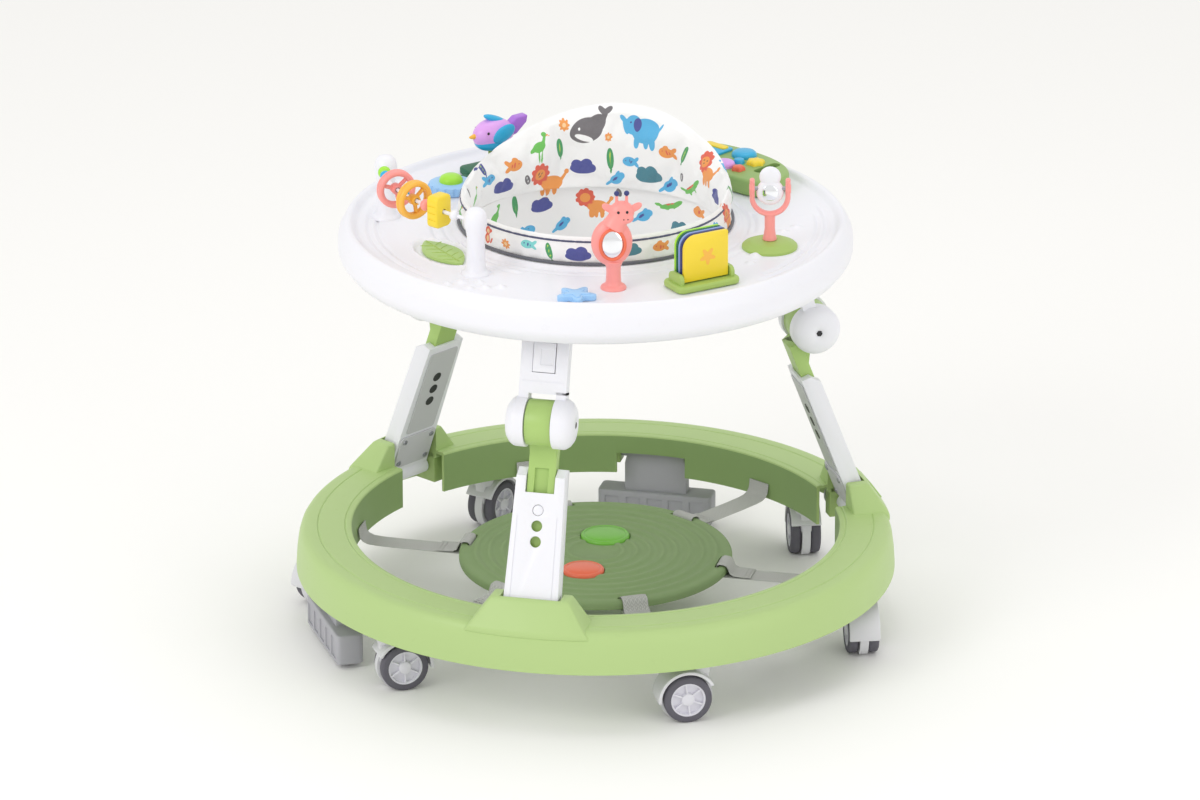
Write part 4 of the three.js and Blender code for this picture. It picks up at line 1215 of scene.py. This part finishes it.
def make_bead_arch():
    posts = []
    for angle, radius, top in ARCH_POSTS:
        section = ((0, DECK), (17, DECK), (17, DECK + 0.002), (14.5, DECK + 0.0045), (11.6, DECK + 0.007),
                   (10.8, DECK + 0.02), (10.2, top - 0.018), (11.4, top - 0.011), (13.2, top - 0.002),
                   (13.2, top + 0.004), (11.6, top + 0.0105), (8, top + 0.0145), (3.5, top + 0.0160),
                   (0, top + 0.0162))
        post = lathe("bead_arch_posts", [(r * MM, z) for r, z in section], WHITE, 56, smooth=50)
        x, y = on_deck(angle, radius)
        posts.append(moved(post, shift(x, y, 0)))
    place(gather(posts), "tray", "bead_arch")
    wire = tube("bead_wire", [arch_point(t) for t in np.linspace(0, 1, 60)], 0.0022, WHITE, 16)
    place(wire, "tray")
    slab = prism("bead_slab", rounded_box(-0.013, -0.019, 0.013, 0.019, 0.006), -0.0078, 0.0078, YELLOW)
    soften(slab, 0.0026, 3)
    moved(slab, SIDEWAYS)
    cut(slab, rod("bore", 0.0032, (-0.02, 0, 0), (0.02, 0, 0), YELLOW, 24))
    for k in (-1, 0, 1):
        for side in (-1, 1):
            cut(slab, block("rib", (-0.0085, side * 0.0132 - 0.0009, k * 0.008 - 0.0011),
                            (0.0085, side * 0.0132 + 0.0009, k * 0.008 + 0.0011), YELLOW))
    shade(slab, 40)
    place(moved(slab, arch_frame(0.22)), "bead_slab_yellow", "bead_slab_yellow")
    for body, t, material, slot_name in (("bead_ring_orange", 0.40, AMBER, "orange_plastic"),
                                         ("bead_ring_pink", 0.58, PINK, "pink_plastic")):
        ring = loop_of_ring(body + "_loops", -0.0025, material)
        joined(ring, loop_of_ring("loop", 0.0025, material))
        hub = lathe("hub", mm((3.1, -5.6), (5.4, -5.6), (6.2, -4), (6.2, 4), (5.4, 5.6), (3.1, 5.6)),
                    material, 32, closed=True)
        moved(hub, spin("Y", 90))
        joined(ring, hub)
        for k in range(3):
            tilt = spin("X", 120 * k + 20)
            joined(ring, moved(tube("spoke", [(0, 0.0045, 0), (0, 0.0185, 0)], 0.0024, material, 12), tilt))
        place(moved(ring, arch_frame(t)), body, body)
    beads = ((0.86, 0.0075, LIME, "bright_green"), (0.80, 0.0060, SKY, "blue_plastic"),
             (0.125, 0.0062, WHITE, "white_plastic"), (0.31, 0.0068, PINK, "pink_plastic"),
             (0.49, 0.0065, SKY, "blue_plastic"))
    for number, (t, radius, material, slot_name) in enumerate(beads, 1):
        bead = ball(f"bead_{number}", radius, (0, 0, 0), (0.9, 1, 1), material, 18)
        place(moved(bead, arch_frame(t)), "tray")


def make_bird():
    angle, y = -132, -0.212
    facing = turned_about(y, 180)
    board = prism("bird_board", rounded_box(-0.030, y - 0.026, 0.034, y + 0.026, 0.009), TOY_BASE, 0.5004,
                  DARK_GREEN)
    soften(board, 0.002, 3)
    stem = block("stem", (0.028, y - 0.005, TOY_BASE), (0.070, y + 0.005, 0.4974), DARK_GREEN)
    fuse(board, soften(stem, 0.0016, 2))
    shade(board, 35)
    at_spoke(board, angle, "tray", "bird_perch")
    stalk = lathe("bird_stalk", mm((0, 500), (9, 500), (8.6, 502), (6.4, 504), (5.8, 512), (5.8, 519),
                                   (4, 520.5), (0, 520.6)), TOY_GREEN, 32)
    at_spoke(moved(stalk, shift(0, y, 0)), angle, "tray")
    dial = shift(0, -0.202, 0)
    saucer = lathe("dial_saucer", mm((0, 492.4), (24, 492.4), (26.2, 495), (27, 500), (26, 502.6),
                                     (22.5, 504.2), (0, 504.4)), PALE_BLUE, 64, smooth=40)
    for k in range(16):
        cut_at = spoke(22.5 * k) @ shift(0, -0.0275, 0)
        cut(saucer, moved(rod("flute", 0.0026, (0, 0, 0.49), (0, 0, 0.51), PALE_BLUE, 14), cut_at))
    shade(saucer, 40)
    at_spoke(moved(saucer, spoke(22) @ dial), angle, "tray")
    dome = lathe("dial_dome", mm((0, 503), (14, 503), (13.8, 507), (12, 510.4), (8, 512.6), (0, 513.4)),
                 LIME, 48, smooth=60)
    at_spoke(moved(dome, spoke(22) @ dial), angle, "tray")
    body = ball("bird_body", 0.0228, (0, y, 0.541), (1.18, 0.74, 0.84), LILAC)
    tail = front_prism("tail", [(0.014, 0.545), (0.030, 0.557), (0.0455, 0.5575), (0.044, 0.549),
                                (0.030, 0.537), (0.014, 0.533)], -y - 0.006, -y + 0.006, PURPLE)
    soften(tail, 0.0018, 3)
    at_spoke(moved(body, facing), angle, "bird_toy", "bird_toy")
    at_spoke(moved(tail, facing), angle, "bird_toy").name = "bird_tail"
    belly = ball("bird_belly", 0.0200, (-0.002, y, 0.5335), (1.12, 0.80, 0.60), SKY)
    at_spoke(moved(belly, facing), angle, "bird_toy")
    crest = ball("bird_raised_wing", 0.0128, (0, 0, 0), (1.35, 0.5, 0.34), SKY)
    moved(crest, shift(0.003, y, 0.5585) @ spin("Y", 24))
    at_spoke(moved(crest, facing), angle, "bird_toy")
    for face, hand in ((-1, "right"), (1, "left")):
        wing = ball(f"bird_wing_{hand}", 0.0128, (0, 0, 0), (1.25, 0.26, 0.72), SKY)
        moved(wing, shift(0.005, y + face * 0.0158, 0.5445) @ spin("Y", -24))
        at_spoke(moved(wing, facing), angle, "bird_toy")
        eye = ball(f"bird_eye_{hand}", 0.0017, (-0.0150, y + face * 0.0132, 0.5475),
                   (1, 0.6, 1), BLACK, 12)
        at_spoke(moved(eye, facing), angle, "bird_toy")
    beak = lathe("bird_beak", mm((0, 0), (3.4, 0), (2.6, 3.5), (1.4, 7), (0, 8.6)), AMBER, 24, smooth=60)
    moved(beak, shift(-0.0255, y, 0.5425) @ spin("Y", -90))
    at_spoke(moved(beak, facing), angle, "bird_toy")


# ---------------------------------------------------------------- fabric print
INK = {name: srgb(*color) for name, color in {
    "navy": (52, 62, 148), "teal": (42, 122, 140), "green": (40, 150, 82), "leaf": (96, 190, 72),
    "orange": (240, 150, 56), "red": (226, 84, 52), "sky": (70, 176, 226), "grey": (102, 98, 102),
    "peach": (250, 206, 150), "white": (252, 252, 252), "black": (28, 28, 34), "lime": (178, 214, 60),
    "aqua": (120, 214, 210)}.items()}


def petals(count, ring, rx, ry):
    """Ovals set round a circle, for a mane or a flower."""
    return [(ring * math.cos(math.tau * k / count), ring * math.sin(math.tau * k / count), rx, ry,
             360 * k / count) for k in range(count)]


# A figure is a list of (layer, ink, ovals). An oval is its centre, its half sizes and its turn, in mm and
# degrees. Layer a is printed first, and b on top of it.
FIGURES = {"whale": [("a", "grey", [(-2, 0, 14, 8.5, 12), (6, 4, 9, 6, 35), (13, 10, 3.5, 2, 60),
                                    (11.5, 13, 4.2, 1.8, 150), (15.5, 13.5, 4, 1.8, 30)]), ("b", "white",
        [(-4, -5, 8, 2.2, -14), (-8, 1.5, 1.1, 1.1, 0)])], "elephant": [("a", "sky", [(3, 0, 13, 8.5, 0),
        (-8, 3, 7, 7, 0), (-14.5, 2, 2, 6, 20), (-17, 7, 3.4, 1.8, 140), (-4, -8, 2.6, 5, 0), (11, -8, 2.8,
        5, 0), (5, -8, 2.4, 4.6, 0), (16, 3, 1, 4, -30)]), ("b", "navy", [(-4.5, 3.5, 3.6, 4.6, 0),
        (-10.5, 4.6, 0.9, 0.9, 0)])], "wader": [("a", "leaf", [(0, 0, 6, 3.6, 25), (4.6, 4.6, 1.2, 5.5,
        -18), (5.4, 9.4, 2.2, 1.8, 0), (-1, -8, 0.7, 6, 6), (1.6, -8, 0.7, 6, -6), (-5.4, -2.6, 3.4, 1.5,
        30)]), ("b", "orange", [(8.4, 8.8, 2, 0.7, -12)])], "leaf": [("a", "green", [(0, 0, 3.4, 9, 0),
        (0, -9, 0.7, 4, 0)]), ("b", "lime", [(0, 0, 0.6, 7.6, 0)])],
           "fish": [("a", "sky", [(0, 0, 7, 4.2, 0), (7.4, 2.2, 3.2, 1.7, 40), (7.4, -2.2, 3.2, 1.7, -40)]),
                    ("b", "navy", [(-3.6, 0.8, 0.9, 0.9, 0), (1, 0, 0.7, 2.4, 12), (3.4, 0, 0.6, 1.8,
        12)])], "goldfish": [("a", "orange", [(0, 0, 7.4, 4.6, 0), (7.6, 2.4, 3.4, 1.8, 40),
                                              (7.6, -2.4, 3.4, 1.8, -40), (0, 4.6, 3, 1.6, 10)]),
                             ("b", "red", [(-3.8, 0.9, 0.9, 0.9, 0), (0.6, 0, 0.8, 2.8, 12), (3.4, 0, 0.7,
        2, 12)])], "lion": [("a", "orange", [(6, -4, 8.5, 5, 0), (1, -10, 1.8, 4.4, 0), (5, -10, 1.6, 4.4,
        0), (10, -10, 1.8, 4.4, 0), (15, -1, 1.1, 5, -35), (17.5, 3, 1.8, 1.8, 0)]),
                            ("a", "red", [(x - 4, y + 3.5, a, b, t) for x, y, a, b, t in petals(9, 5.4, 2.9,
        2.2)] + [(-4, 3.5, 5.6, 5.6, 0)]), ("b", "orange", [(-4, 3.2, 4.3, 4, 0)]), ("b", "black",
        [(-5.6, 4.2, 0.6, 0.7, 0), (-2.6, 4.2, 0.6, 0.7, 0), (-4.1, 2.2, 0.9, 0.6, 0)])],
           "cloud": [("a", "navy", [(0, 0, 11, 4.6, 0), (-5, 3.4, 5, 4.4, 0), (3.4, 4.4, 5.6, 4.8, 0),
                                    (8, 0.8, 4.4, 3.8, 0)])], "bird": [("a", "sky", [(0, 0, 6.4, 4.4, 20),
        (5.6, 4, 3.2, 3, 0), (-7, -3.4, 4.4, 1.4, 32), (1, 4.4, 4.4, 1.8, 60)]), ("b", "navy",
        [(-1, 0, 3.6, 0.6, 30), (-0.6, 1.6, 3.2, 0.6, 30), (6.4, 4.6, 0.6, 0.6, 0)])],
           "croc": [("a", "leaf", [(0, 0, 12, 2.4, 6), (-12, 1.6, 5, 1.3, -24), (10.4, 2.4, 5.4, 1.9, 14),
                                   (-4, -2.8, 1.1, 2.2, 0), (5, -2.2, 1.1, 2.2, 0)]),
                    ("b", "red", [(0, 1.6, 7.6, 0.7, 6)])], "seed": [("a", "grey", [(0, 0, 2.7, 4.4, 0)]),
        ("b", "white", [(0, 0, 0.5, 3, 0)])], "sun": [("a", "orange", petals(8, 3.6, 1.8, 1.1)
                                                       + [(0, 0, 3.4, 3.4, 0)]), ("b", "peach",
        [(0, 0, 1.9, 1.9, 0)])], "monkey": [("a", "red", [(0, 3.4, 3.8, 3.4, 0), (-4, 4, 1.6, 1.6, 0),
        (4, 4, 1.6, 1.6, 0), (0, -3.4, 3.4, 4.6, 0), (5.6, -4, 0.8, 3.6, -30)]), ("b", "peach",
        [(0, 2.8, 2.4, 2, 0), (0, -3.6, 1.8, 2.8, 0)])],}
# Where they are printed: figure, angle from the front in degrees, height in mm, scale, turn, and an ink in
# place of the figure's first one. A turn of 180 mirrors the figure.
INSIDE = [
    ("whale", 197, 559, 1.63, 0), ("elephant", 170, 562, 1.63, 0), ("wader", 222, 543, 1.47, 0),
    ("leaf", 211, 538, 1.32, 8), ("sun", 209, 566, 1.40, 0), ("fish", 176, 524, 1.40, 0),
    ("goldfish", 236, 527, 1.47, 180), ("goldfish", 156, 541, 1.47, 0), ("fish", 252, 519, 1.40, 180),
    ("lion", 128, 540, 1.47, 0), ("cloud", 200, 512, 1.47, 0), ("cloud", 243, 502, 1.32, 0),
    ("lion", 219, 503, 1.78, 0), ("leaf", 186, 526, 1.47, 4), ("cloud", 166, 507, 1.63, 0, "teal"),
    ("seed", 229, 506, 1.47, 20), ("bird", 155, 499, 1.55, 0), ("croc", 139, 506, 1.55, 24),
    ("seed", 146, 516, 1.47, -30), ("wader", 268, 508, 1.24, 0), ("leaf", 144, 545, 1.24, -24),
    ("cloud", 115, 512, 1.32, 0), ("fish", 100, 508, 1.40, 0, "aqua"), ("sun", 187, 552, 1.08, 0),
    ("leaf", 256, 536, 1.16, 20, "navy"), ("bird", 183, 500, 1.40, 0), ("sun", 90, 522, 1.40, 0),
    ("seed", 274, 520, 1.40, 10), ("goldfish", 283, 506, 1.24, 180), ("fish", 78, 510, 1.24, 0),
    ("lion", 196, 466, 1.5, 0), ("cloud", 219, 464, 1.3, 0), ("seed", 183, 478, 1.3, 20),
    ("croc", 158, 470, 1.4, 12), ("bird", 172, 450, 1.4, 0), ("bird", 209, 438, 1.3, 0),
    ("goldfish", 140, 474, 1.3, 0), ("leaf", 233, 474, 1.3, 8), ("wader", 246, 466, 1.4, 0),
    ("cloud", 152, 442, 1.4, 0, "teal"), ("seed", 189, 440, 1.3, -20), ("fish", 226, 440, 1.3, 180),
    ("monkey", 124, 462, 1.4, 0), ("sun", 262, 470, 1.3, 0), ("elephant", 184, 418, 1.3, 0)
]
OUTSIDE = [
    ("seed", -52, 512, 1.42, 30, "navy"), ("monkey", -38, 514, 1.35, 0), ("sun", -27, 510, 1.28, 0),
    ("fish", -16, 516, 1.15, 0, "aqua"), ("leaf", -6, 512, 1.08, 16), ("cloud", 6, 508, 1.28, 0),
    ("sun", 16, 518, 0.94, 0), ("cloud", 28, 512, 1.08, 0, "teal"), ("goldfish", 41, 514, 1.15, 0),
    ("croc", 57, 514, 1.22, 0), ("bird", 72, 512, 1.22, 0), ("wader", -68, 512, 1.22, 0),
    ("lion", 88, 516, 1.42, 0), ("goldfish", -84, 516, 1.42, 180), ("leaf", 102, 528, 1.42, 10),
    ("cloud", 116, 514, 1.50, 0), ("fish", 118, 545, 1.50, 0), ("elephant", 137, 536, 1.58, 0),
    ("seed", 150, 514, 1.50, 20), ("whale", 164, 548, 1.58, 0), ("croc", 170, 513, 1.50, 0),
    ("sun", 180, 566, 1.50, 0), ("lion", 192, 532, 1.72, 0), ("leaf", 206, 556, 1.50, -10),
    ("cloud", 214, 512, 1.50, 0, "teal"), ("wader", 222, 545, 1.50, 0),
    ("goldfish", 236, 540, 1.50, 180), ("bird", 240, 512, 1.50, 0), ("cloud", 258, 526, 1.35, 0),
    ("monkey", 150, 562, 1.50, 0), ("fish", 205, 575, 1.20, 180)
]


PRINT_REACH = 50


def oval_distance(u, v, oval):
    """How far outside an oval each point is, in millimetres."""
    x, y, rx, ry, turn = oval
    c, s = math.cos(math.radians(turn)), math.sin(math.radians(turn))
    p, q = (u - x) * c + (v - y) * s, -(u - x) * s + (v - y) * c
    share = np.sqrt((p / rx) ** 2 + (q / ry) ** 2)
    slope = np.sqrt((p / rx ** 2) ** 2 + (q / ry ** 2) ** 2) + 1e-6
    return share * (share - 1) / slope


def print_figures(obj, points, degrees, lining=False):
    """Stores the print on the mesh: for each layer, the nearest ink and the distance to its edge."""
    high = points[:, 2] * 1000
    radius = np.hypot(points[:, 0], points[:, 1])
    inner = (radius < SEAT_OUTER - 0.0050) | lining
    away = {layer: np.full(len(points), 1e3) for layer in "ab"}
    ink = {layer: np.ones((len(points), 4)) for layer in "ab"}
    for side, plan in ((1, OUTSIDE), (-1, INSIDE)):
        here = inner if side < 0 else ~inner
        for figure, angle, height, scale, turn, *other in plan:
            u = side * np.radians((degrees - angle + 180) % 360 - 180) * SEAT_OUTER * 1000
            v = high - height
            near = np.flatnonzero(here & (np.abs(u) < PRINT_REACH) & (np.abs(v) < PRINT_REACH))
            mirrored = turn == 180
            c = 1 / scale if mirrored else math.cos(math.radians(turn)) / scale
            s = 0.0 if mirrored else math.sin(math.radians(turn)) / scale
            a, b = (-1 if mirrored else 1) * (u[near] * c + v[near] * s), -u[near] * s + v[near] * c
            for number, (layer, color, ovals) in enumerate(FIGURES[figure]):
                gap = np.min([oval_distance(a, b, oval) for oval in ovals], axis=0) * scale
                closer = gap < away[layer][near]
                if number and layer == "a" or number > 1:
                    closer = gap < np.maximum(away[layer][near], 0)
                chosen = near[closer]
                away[layer][chosen] = np.minimum(gap[closer],
                                                 away[layer][chosen]) if number < 1 else gap[closer]
                ink[layer][chosen] = INK[other[0] if other and number == 0 else color]
    for layer in "ab":
        tint = obj.data.attributes.new(f"print_{layer}_color", "FLOAT_COLOR", "POINT")
        tint.data.foreach_set("color", ink[layer].astype(np.float32).ravel())
        edge = obj.data.attributes.new(f"print_{layer}_away", "FLOAT", "POINT")
        edge.data.foreach_set("value", np.minimum(away[layer], PRINT_REACH).astype(np.float32))


# ---------------------------------------------------------------- seat
SEAT_OUTER = 0.156
SEAT_BASE = 0.4874
SEAT_LOW = 0.531
SEAT_HIGH = 0.588


def seat_top(angle):
    """Height of the upholstered rim at an angle in degrees from the front."""
    away = np.abs((angle + 180) % 360 - 180)
    return SEAT_LOW + (SEAT_HIGH - SEAT_LOW) * ramp(away, 62, 180) ** 1.4


def seat_section():
    """The rim's section: a share of its height and a share of its thickness, outer face first."""
    outside = [(t, 0.0) for t in np.linspace(0, 1, 22)]
    crown = [(1.0, 0.5 - 0.5 * math.cos(t)) for t in np.linspace(0, math.pi, 11)[1:-1]]
    inside = [(t, 1.0) for t in np.linspace(1, 0, 22)]
    floor = [(0.0, t) for t in (0.75, 0.5, 0.25)]
    return outside + crown + inside + floor


def make_seat_rim():
    columns, section = 300, seat_section()
    angle = np.arange(columns) * 360 / columns
    top = seat_top(angle)
    thick = (8 + 12 * ramp(top, SEAT_LOW, SEAT_HIGH)) * MM - 0.0012
    verts = np.zeros((columns, len(section), 3))
    for k, (up, across) in enumerate(section):
        round_part = np.minimum(thick / 2, 0.007)
        rise = np.sin(math.pi * across) if up == 1.0 and 0 < across < 1 else 0.0
        z = SEAT_BASE + up * (top - round_part - SEAT_BASE) + rise * round_part
        swell = 0.0016 * math.sin(math.pi * min(up, 1.0)) * (1 if across == 1.0 else 0.3 if across == 0.0
                else 0)
        r = SEAT_OUTER - 0.0008 - across * thick - swell
        verts[:, k] = np.stack([r * np.sin(np.radians(angle)), -r * np.cos(np.radians(angle)), z], -1)
    faces = [[a, d, c, b] for a, b, c, d in quads(columns, len(section), True)]
    rim = piece("seat_rim_pad", verts.reshape(-1, 3), faces, PRINTED, 80)
    puff_up(rim)
    detail = rim.modifiers.new("fine", "SUBSURF")
    detail.levels = detail.render_levels = 1
    baked(rim)
    shade(rim, 80)
    points = points_of(rim)
    degrees = np.degrees(np.arctan2(points[:, 0], -points[:, 1]))
    give_cloth(rim, np.radians(degrees) * SEAT_OUTER, points[:, 2])
    print_figures(rim, points, degrees)
    place(rim, "tray", "seat_rim")
    make_rim_piping()


PUFF_PRESSURE = 4.0
PUFF_STEPS = 20
PUFF_LIMIT = 0.0045


def puff_up(rim):
    """Cloth simulation: air pressure swells the rim between its pinned seams and wrinkles it a little."""
    before = points_of(rim)
    top = seat_top(np.degrees(np.arctan2(before[:, 0], -before[:, 1])))
    radius = np.hypot(before[:, 0], before[:, 1])
    held = np.maximum(1 - ramp(before[:, 2], SEAT_BASE, SEAT_BASE + 0.004),
                      ramp(before[:, 2], top - 0.006, top - 0.004) * (radius > SEAT_OUTER - 0.004))
    pins = rim.vertex_groups.new(name="pins")
    for k, weight in enumerate(held):
        pins.add([k], float(weight), "REPLACE")
    cloth = rim.modifiers.new("cloth", "CLOTH")
    settings = cloth.settings
    settings.use_pressure = True
    settings.uniform_pressure_force = PUFF_PRESSURE
    settings.vertex_group_mass = "pins"
    settings.quality = 6
    settings.mass = 0.2
    settings.tension_stiffness = settings.compression_stiffness = 25
    settings.bending_stiffness = 0.6
    settings.shrink_min = -0.03
    settings.effector_weights.gravity = 0
    cloth.point_cache.frame_start, cloth.point_cache.frame_end = 1, PUFF_STEPS
    for step in range(1, PUFF_STEPS + 1):
        bpy.context.scene.frame_set(step)
    baked(rim)
    bpy.context.scene.frame_set(1)
    after = points_of(rim)
    change = after - before
    length = np.linalg.norm(change, axis=1, keepdims=True)
    change *= np.minimum(1, PUFF_LIMIT / np.maximum(length, 1e-9))
    after = before + change
    radius = np.hypot(after[:, 0], after[:, 1])
    keep = np.minimum(1, (SEAT_OUTER + 0.001) / radius)
    after[:, :2] *= np.where(after[:, 2] < 0.500, keep, 1)[:, None]
    set_points(rim, after)
    rim.vertex_groups.clear()


def make_rim_piping():
    """A navy cord along the top edge of the front band."""
    turns = np.arange(-84, 84.5, 1.5)
    points = [(*on_deck(a, SEAT_OUTER - 0.0005), z - 0.0062) for a, z in zip(turns, seat_top(turns))]
    cord = tube("seat_rim_piping", points, 0.0013, NAVY_PIPING, 8)
    rest = points_of(cord)
    give_cloth(cord, rest[:, 2], np.arctan2(rest[:, 0], -rest[:, 1]) * SEAT_OUTER)
    place(cord, "tray")


SLING_TOP = 0.4864
SLING_RADIUS = 0.1495
LEG_HOLE = 0.042
CLOTH_THICKNESS = 0.0014


def sling_point(turn, depth, bottom):
    """A point of the sling at a turn in radians and a share of the way from its rim to its middle."""
    low = 0.5 * math.pi * depth
    radius = SLING_RADIUS * max(math.cos(low), 0) ** 0.62
    front = 1 - 0.10 * math.cos(turn) * min(depth * 3, 1)
    z = SLING_TOP - (SLING_TOP - bottom) * math.sin(low) ** 0.85
    fold = 0.0022 * math.sin(9 * turn + 3 * depth) * math.sin(math.pi * min(depth * 1.3, 1))
    return Vector(((radius + fold) * math.sin(turn), -(radius + fold) * math.cos(turn) * front, z))


def make_sling():
    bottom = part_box("seat_sling")[0][2] + 0.003
    columns, rows = 320, 90
    verts = [sling_point(math.tau * i / columns, k / rows * 0.985, bottom) for k in range(rows + 1)
             for i in range(columns)]
    middle = len(verts)
    verts.append(Vector((0, 0, bottom)))
    faces = quads(rows + 1, columns, False)
    faces += [[rows * columns + i, rows * columns + (i + 1) % columns, middle] for i in range(columns)]
    centres = [Vector((side * 0.066, -0.062, bottom + 0.024)) for side in (-1, 1)]
    kept = [f for f in faces if all((sum((verts[v] for v in f), Vector()) / len(f) - c).length > LEG_HOLE
                                    for c in centres)]
    sling = piece("seat_sling_cloth", verts, kept, PRINTED, 80)
    edit = bmesh.new()
    edit.from_mesh(sling.data)
    bmesh.ops.delete(edit, geom=[v for v in edit.verts if not v.link_faces], context="VERTS")
    for vert in [v for v in edit.verts if v.is_boundary and v.co.z < SLING_TOP - 0.004]:
        centre = min(centres, key=lambda c: (vert.co - c).length)
        vert.co = centre + (vert.co - centre).normalized() * (LEG_HOLE + 0.0005)
    edit.to_mesh(sling.data)
    edit.free()
    points = points_of(sling)
    degrees = np.degrees(np.arctan2(points[:, 0], -points[:, 1]))
    give_cloth(sling, np.radians(degrees) * np.hypot(points[:, 0], points[:, 1]), points[:, 2])
    print_figures(sling, points, degrees, lining=True)
    shell = sling.modifiers.new("thickness", "SOLIDIFY")
    shell.thickness, shell.offset = CLOTH_THICKNESS, -1
    baked(sling)
    shade(sling, 80)
    place(sling, "tray", "seat_sling")
    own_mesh(sling)


# ---------------------------------------------------------------- build
make_camera()
make_studio()
make_ring()
make_mat()
make_straps()
make_feet()
make_casters()
make_legs()
make_tray()
make_plaques()
make_giraffe()
make_flip_book()
make_mirror()
make_music_box()
make_bead_arch()
make_bird()
make_seat_rim()
make_sling()
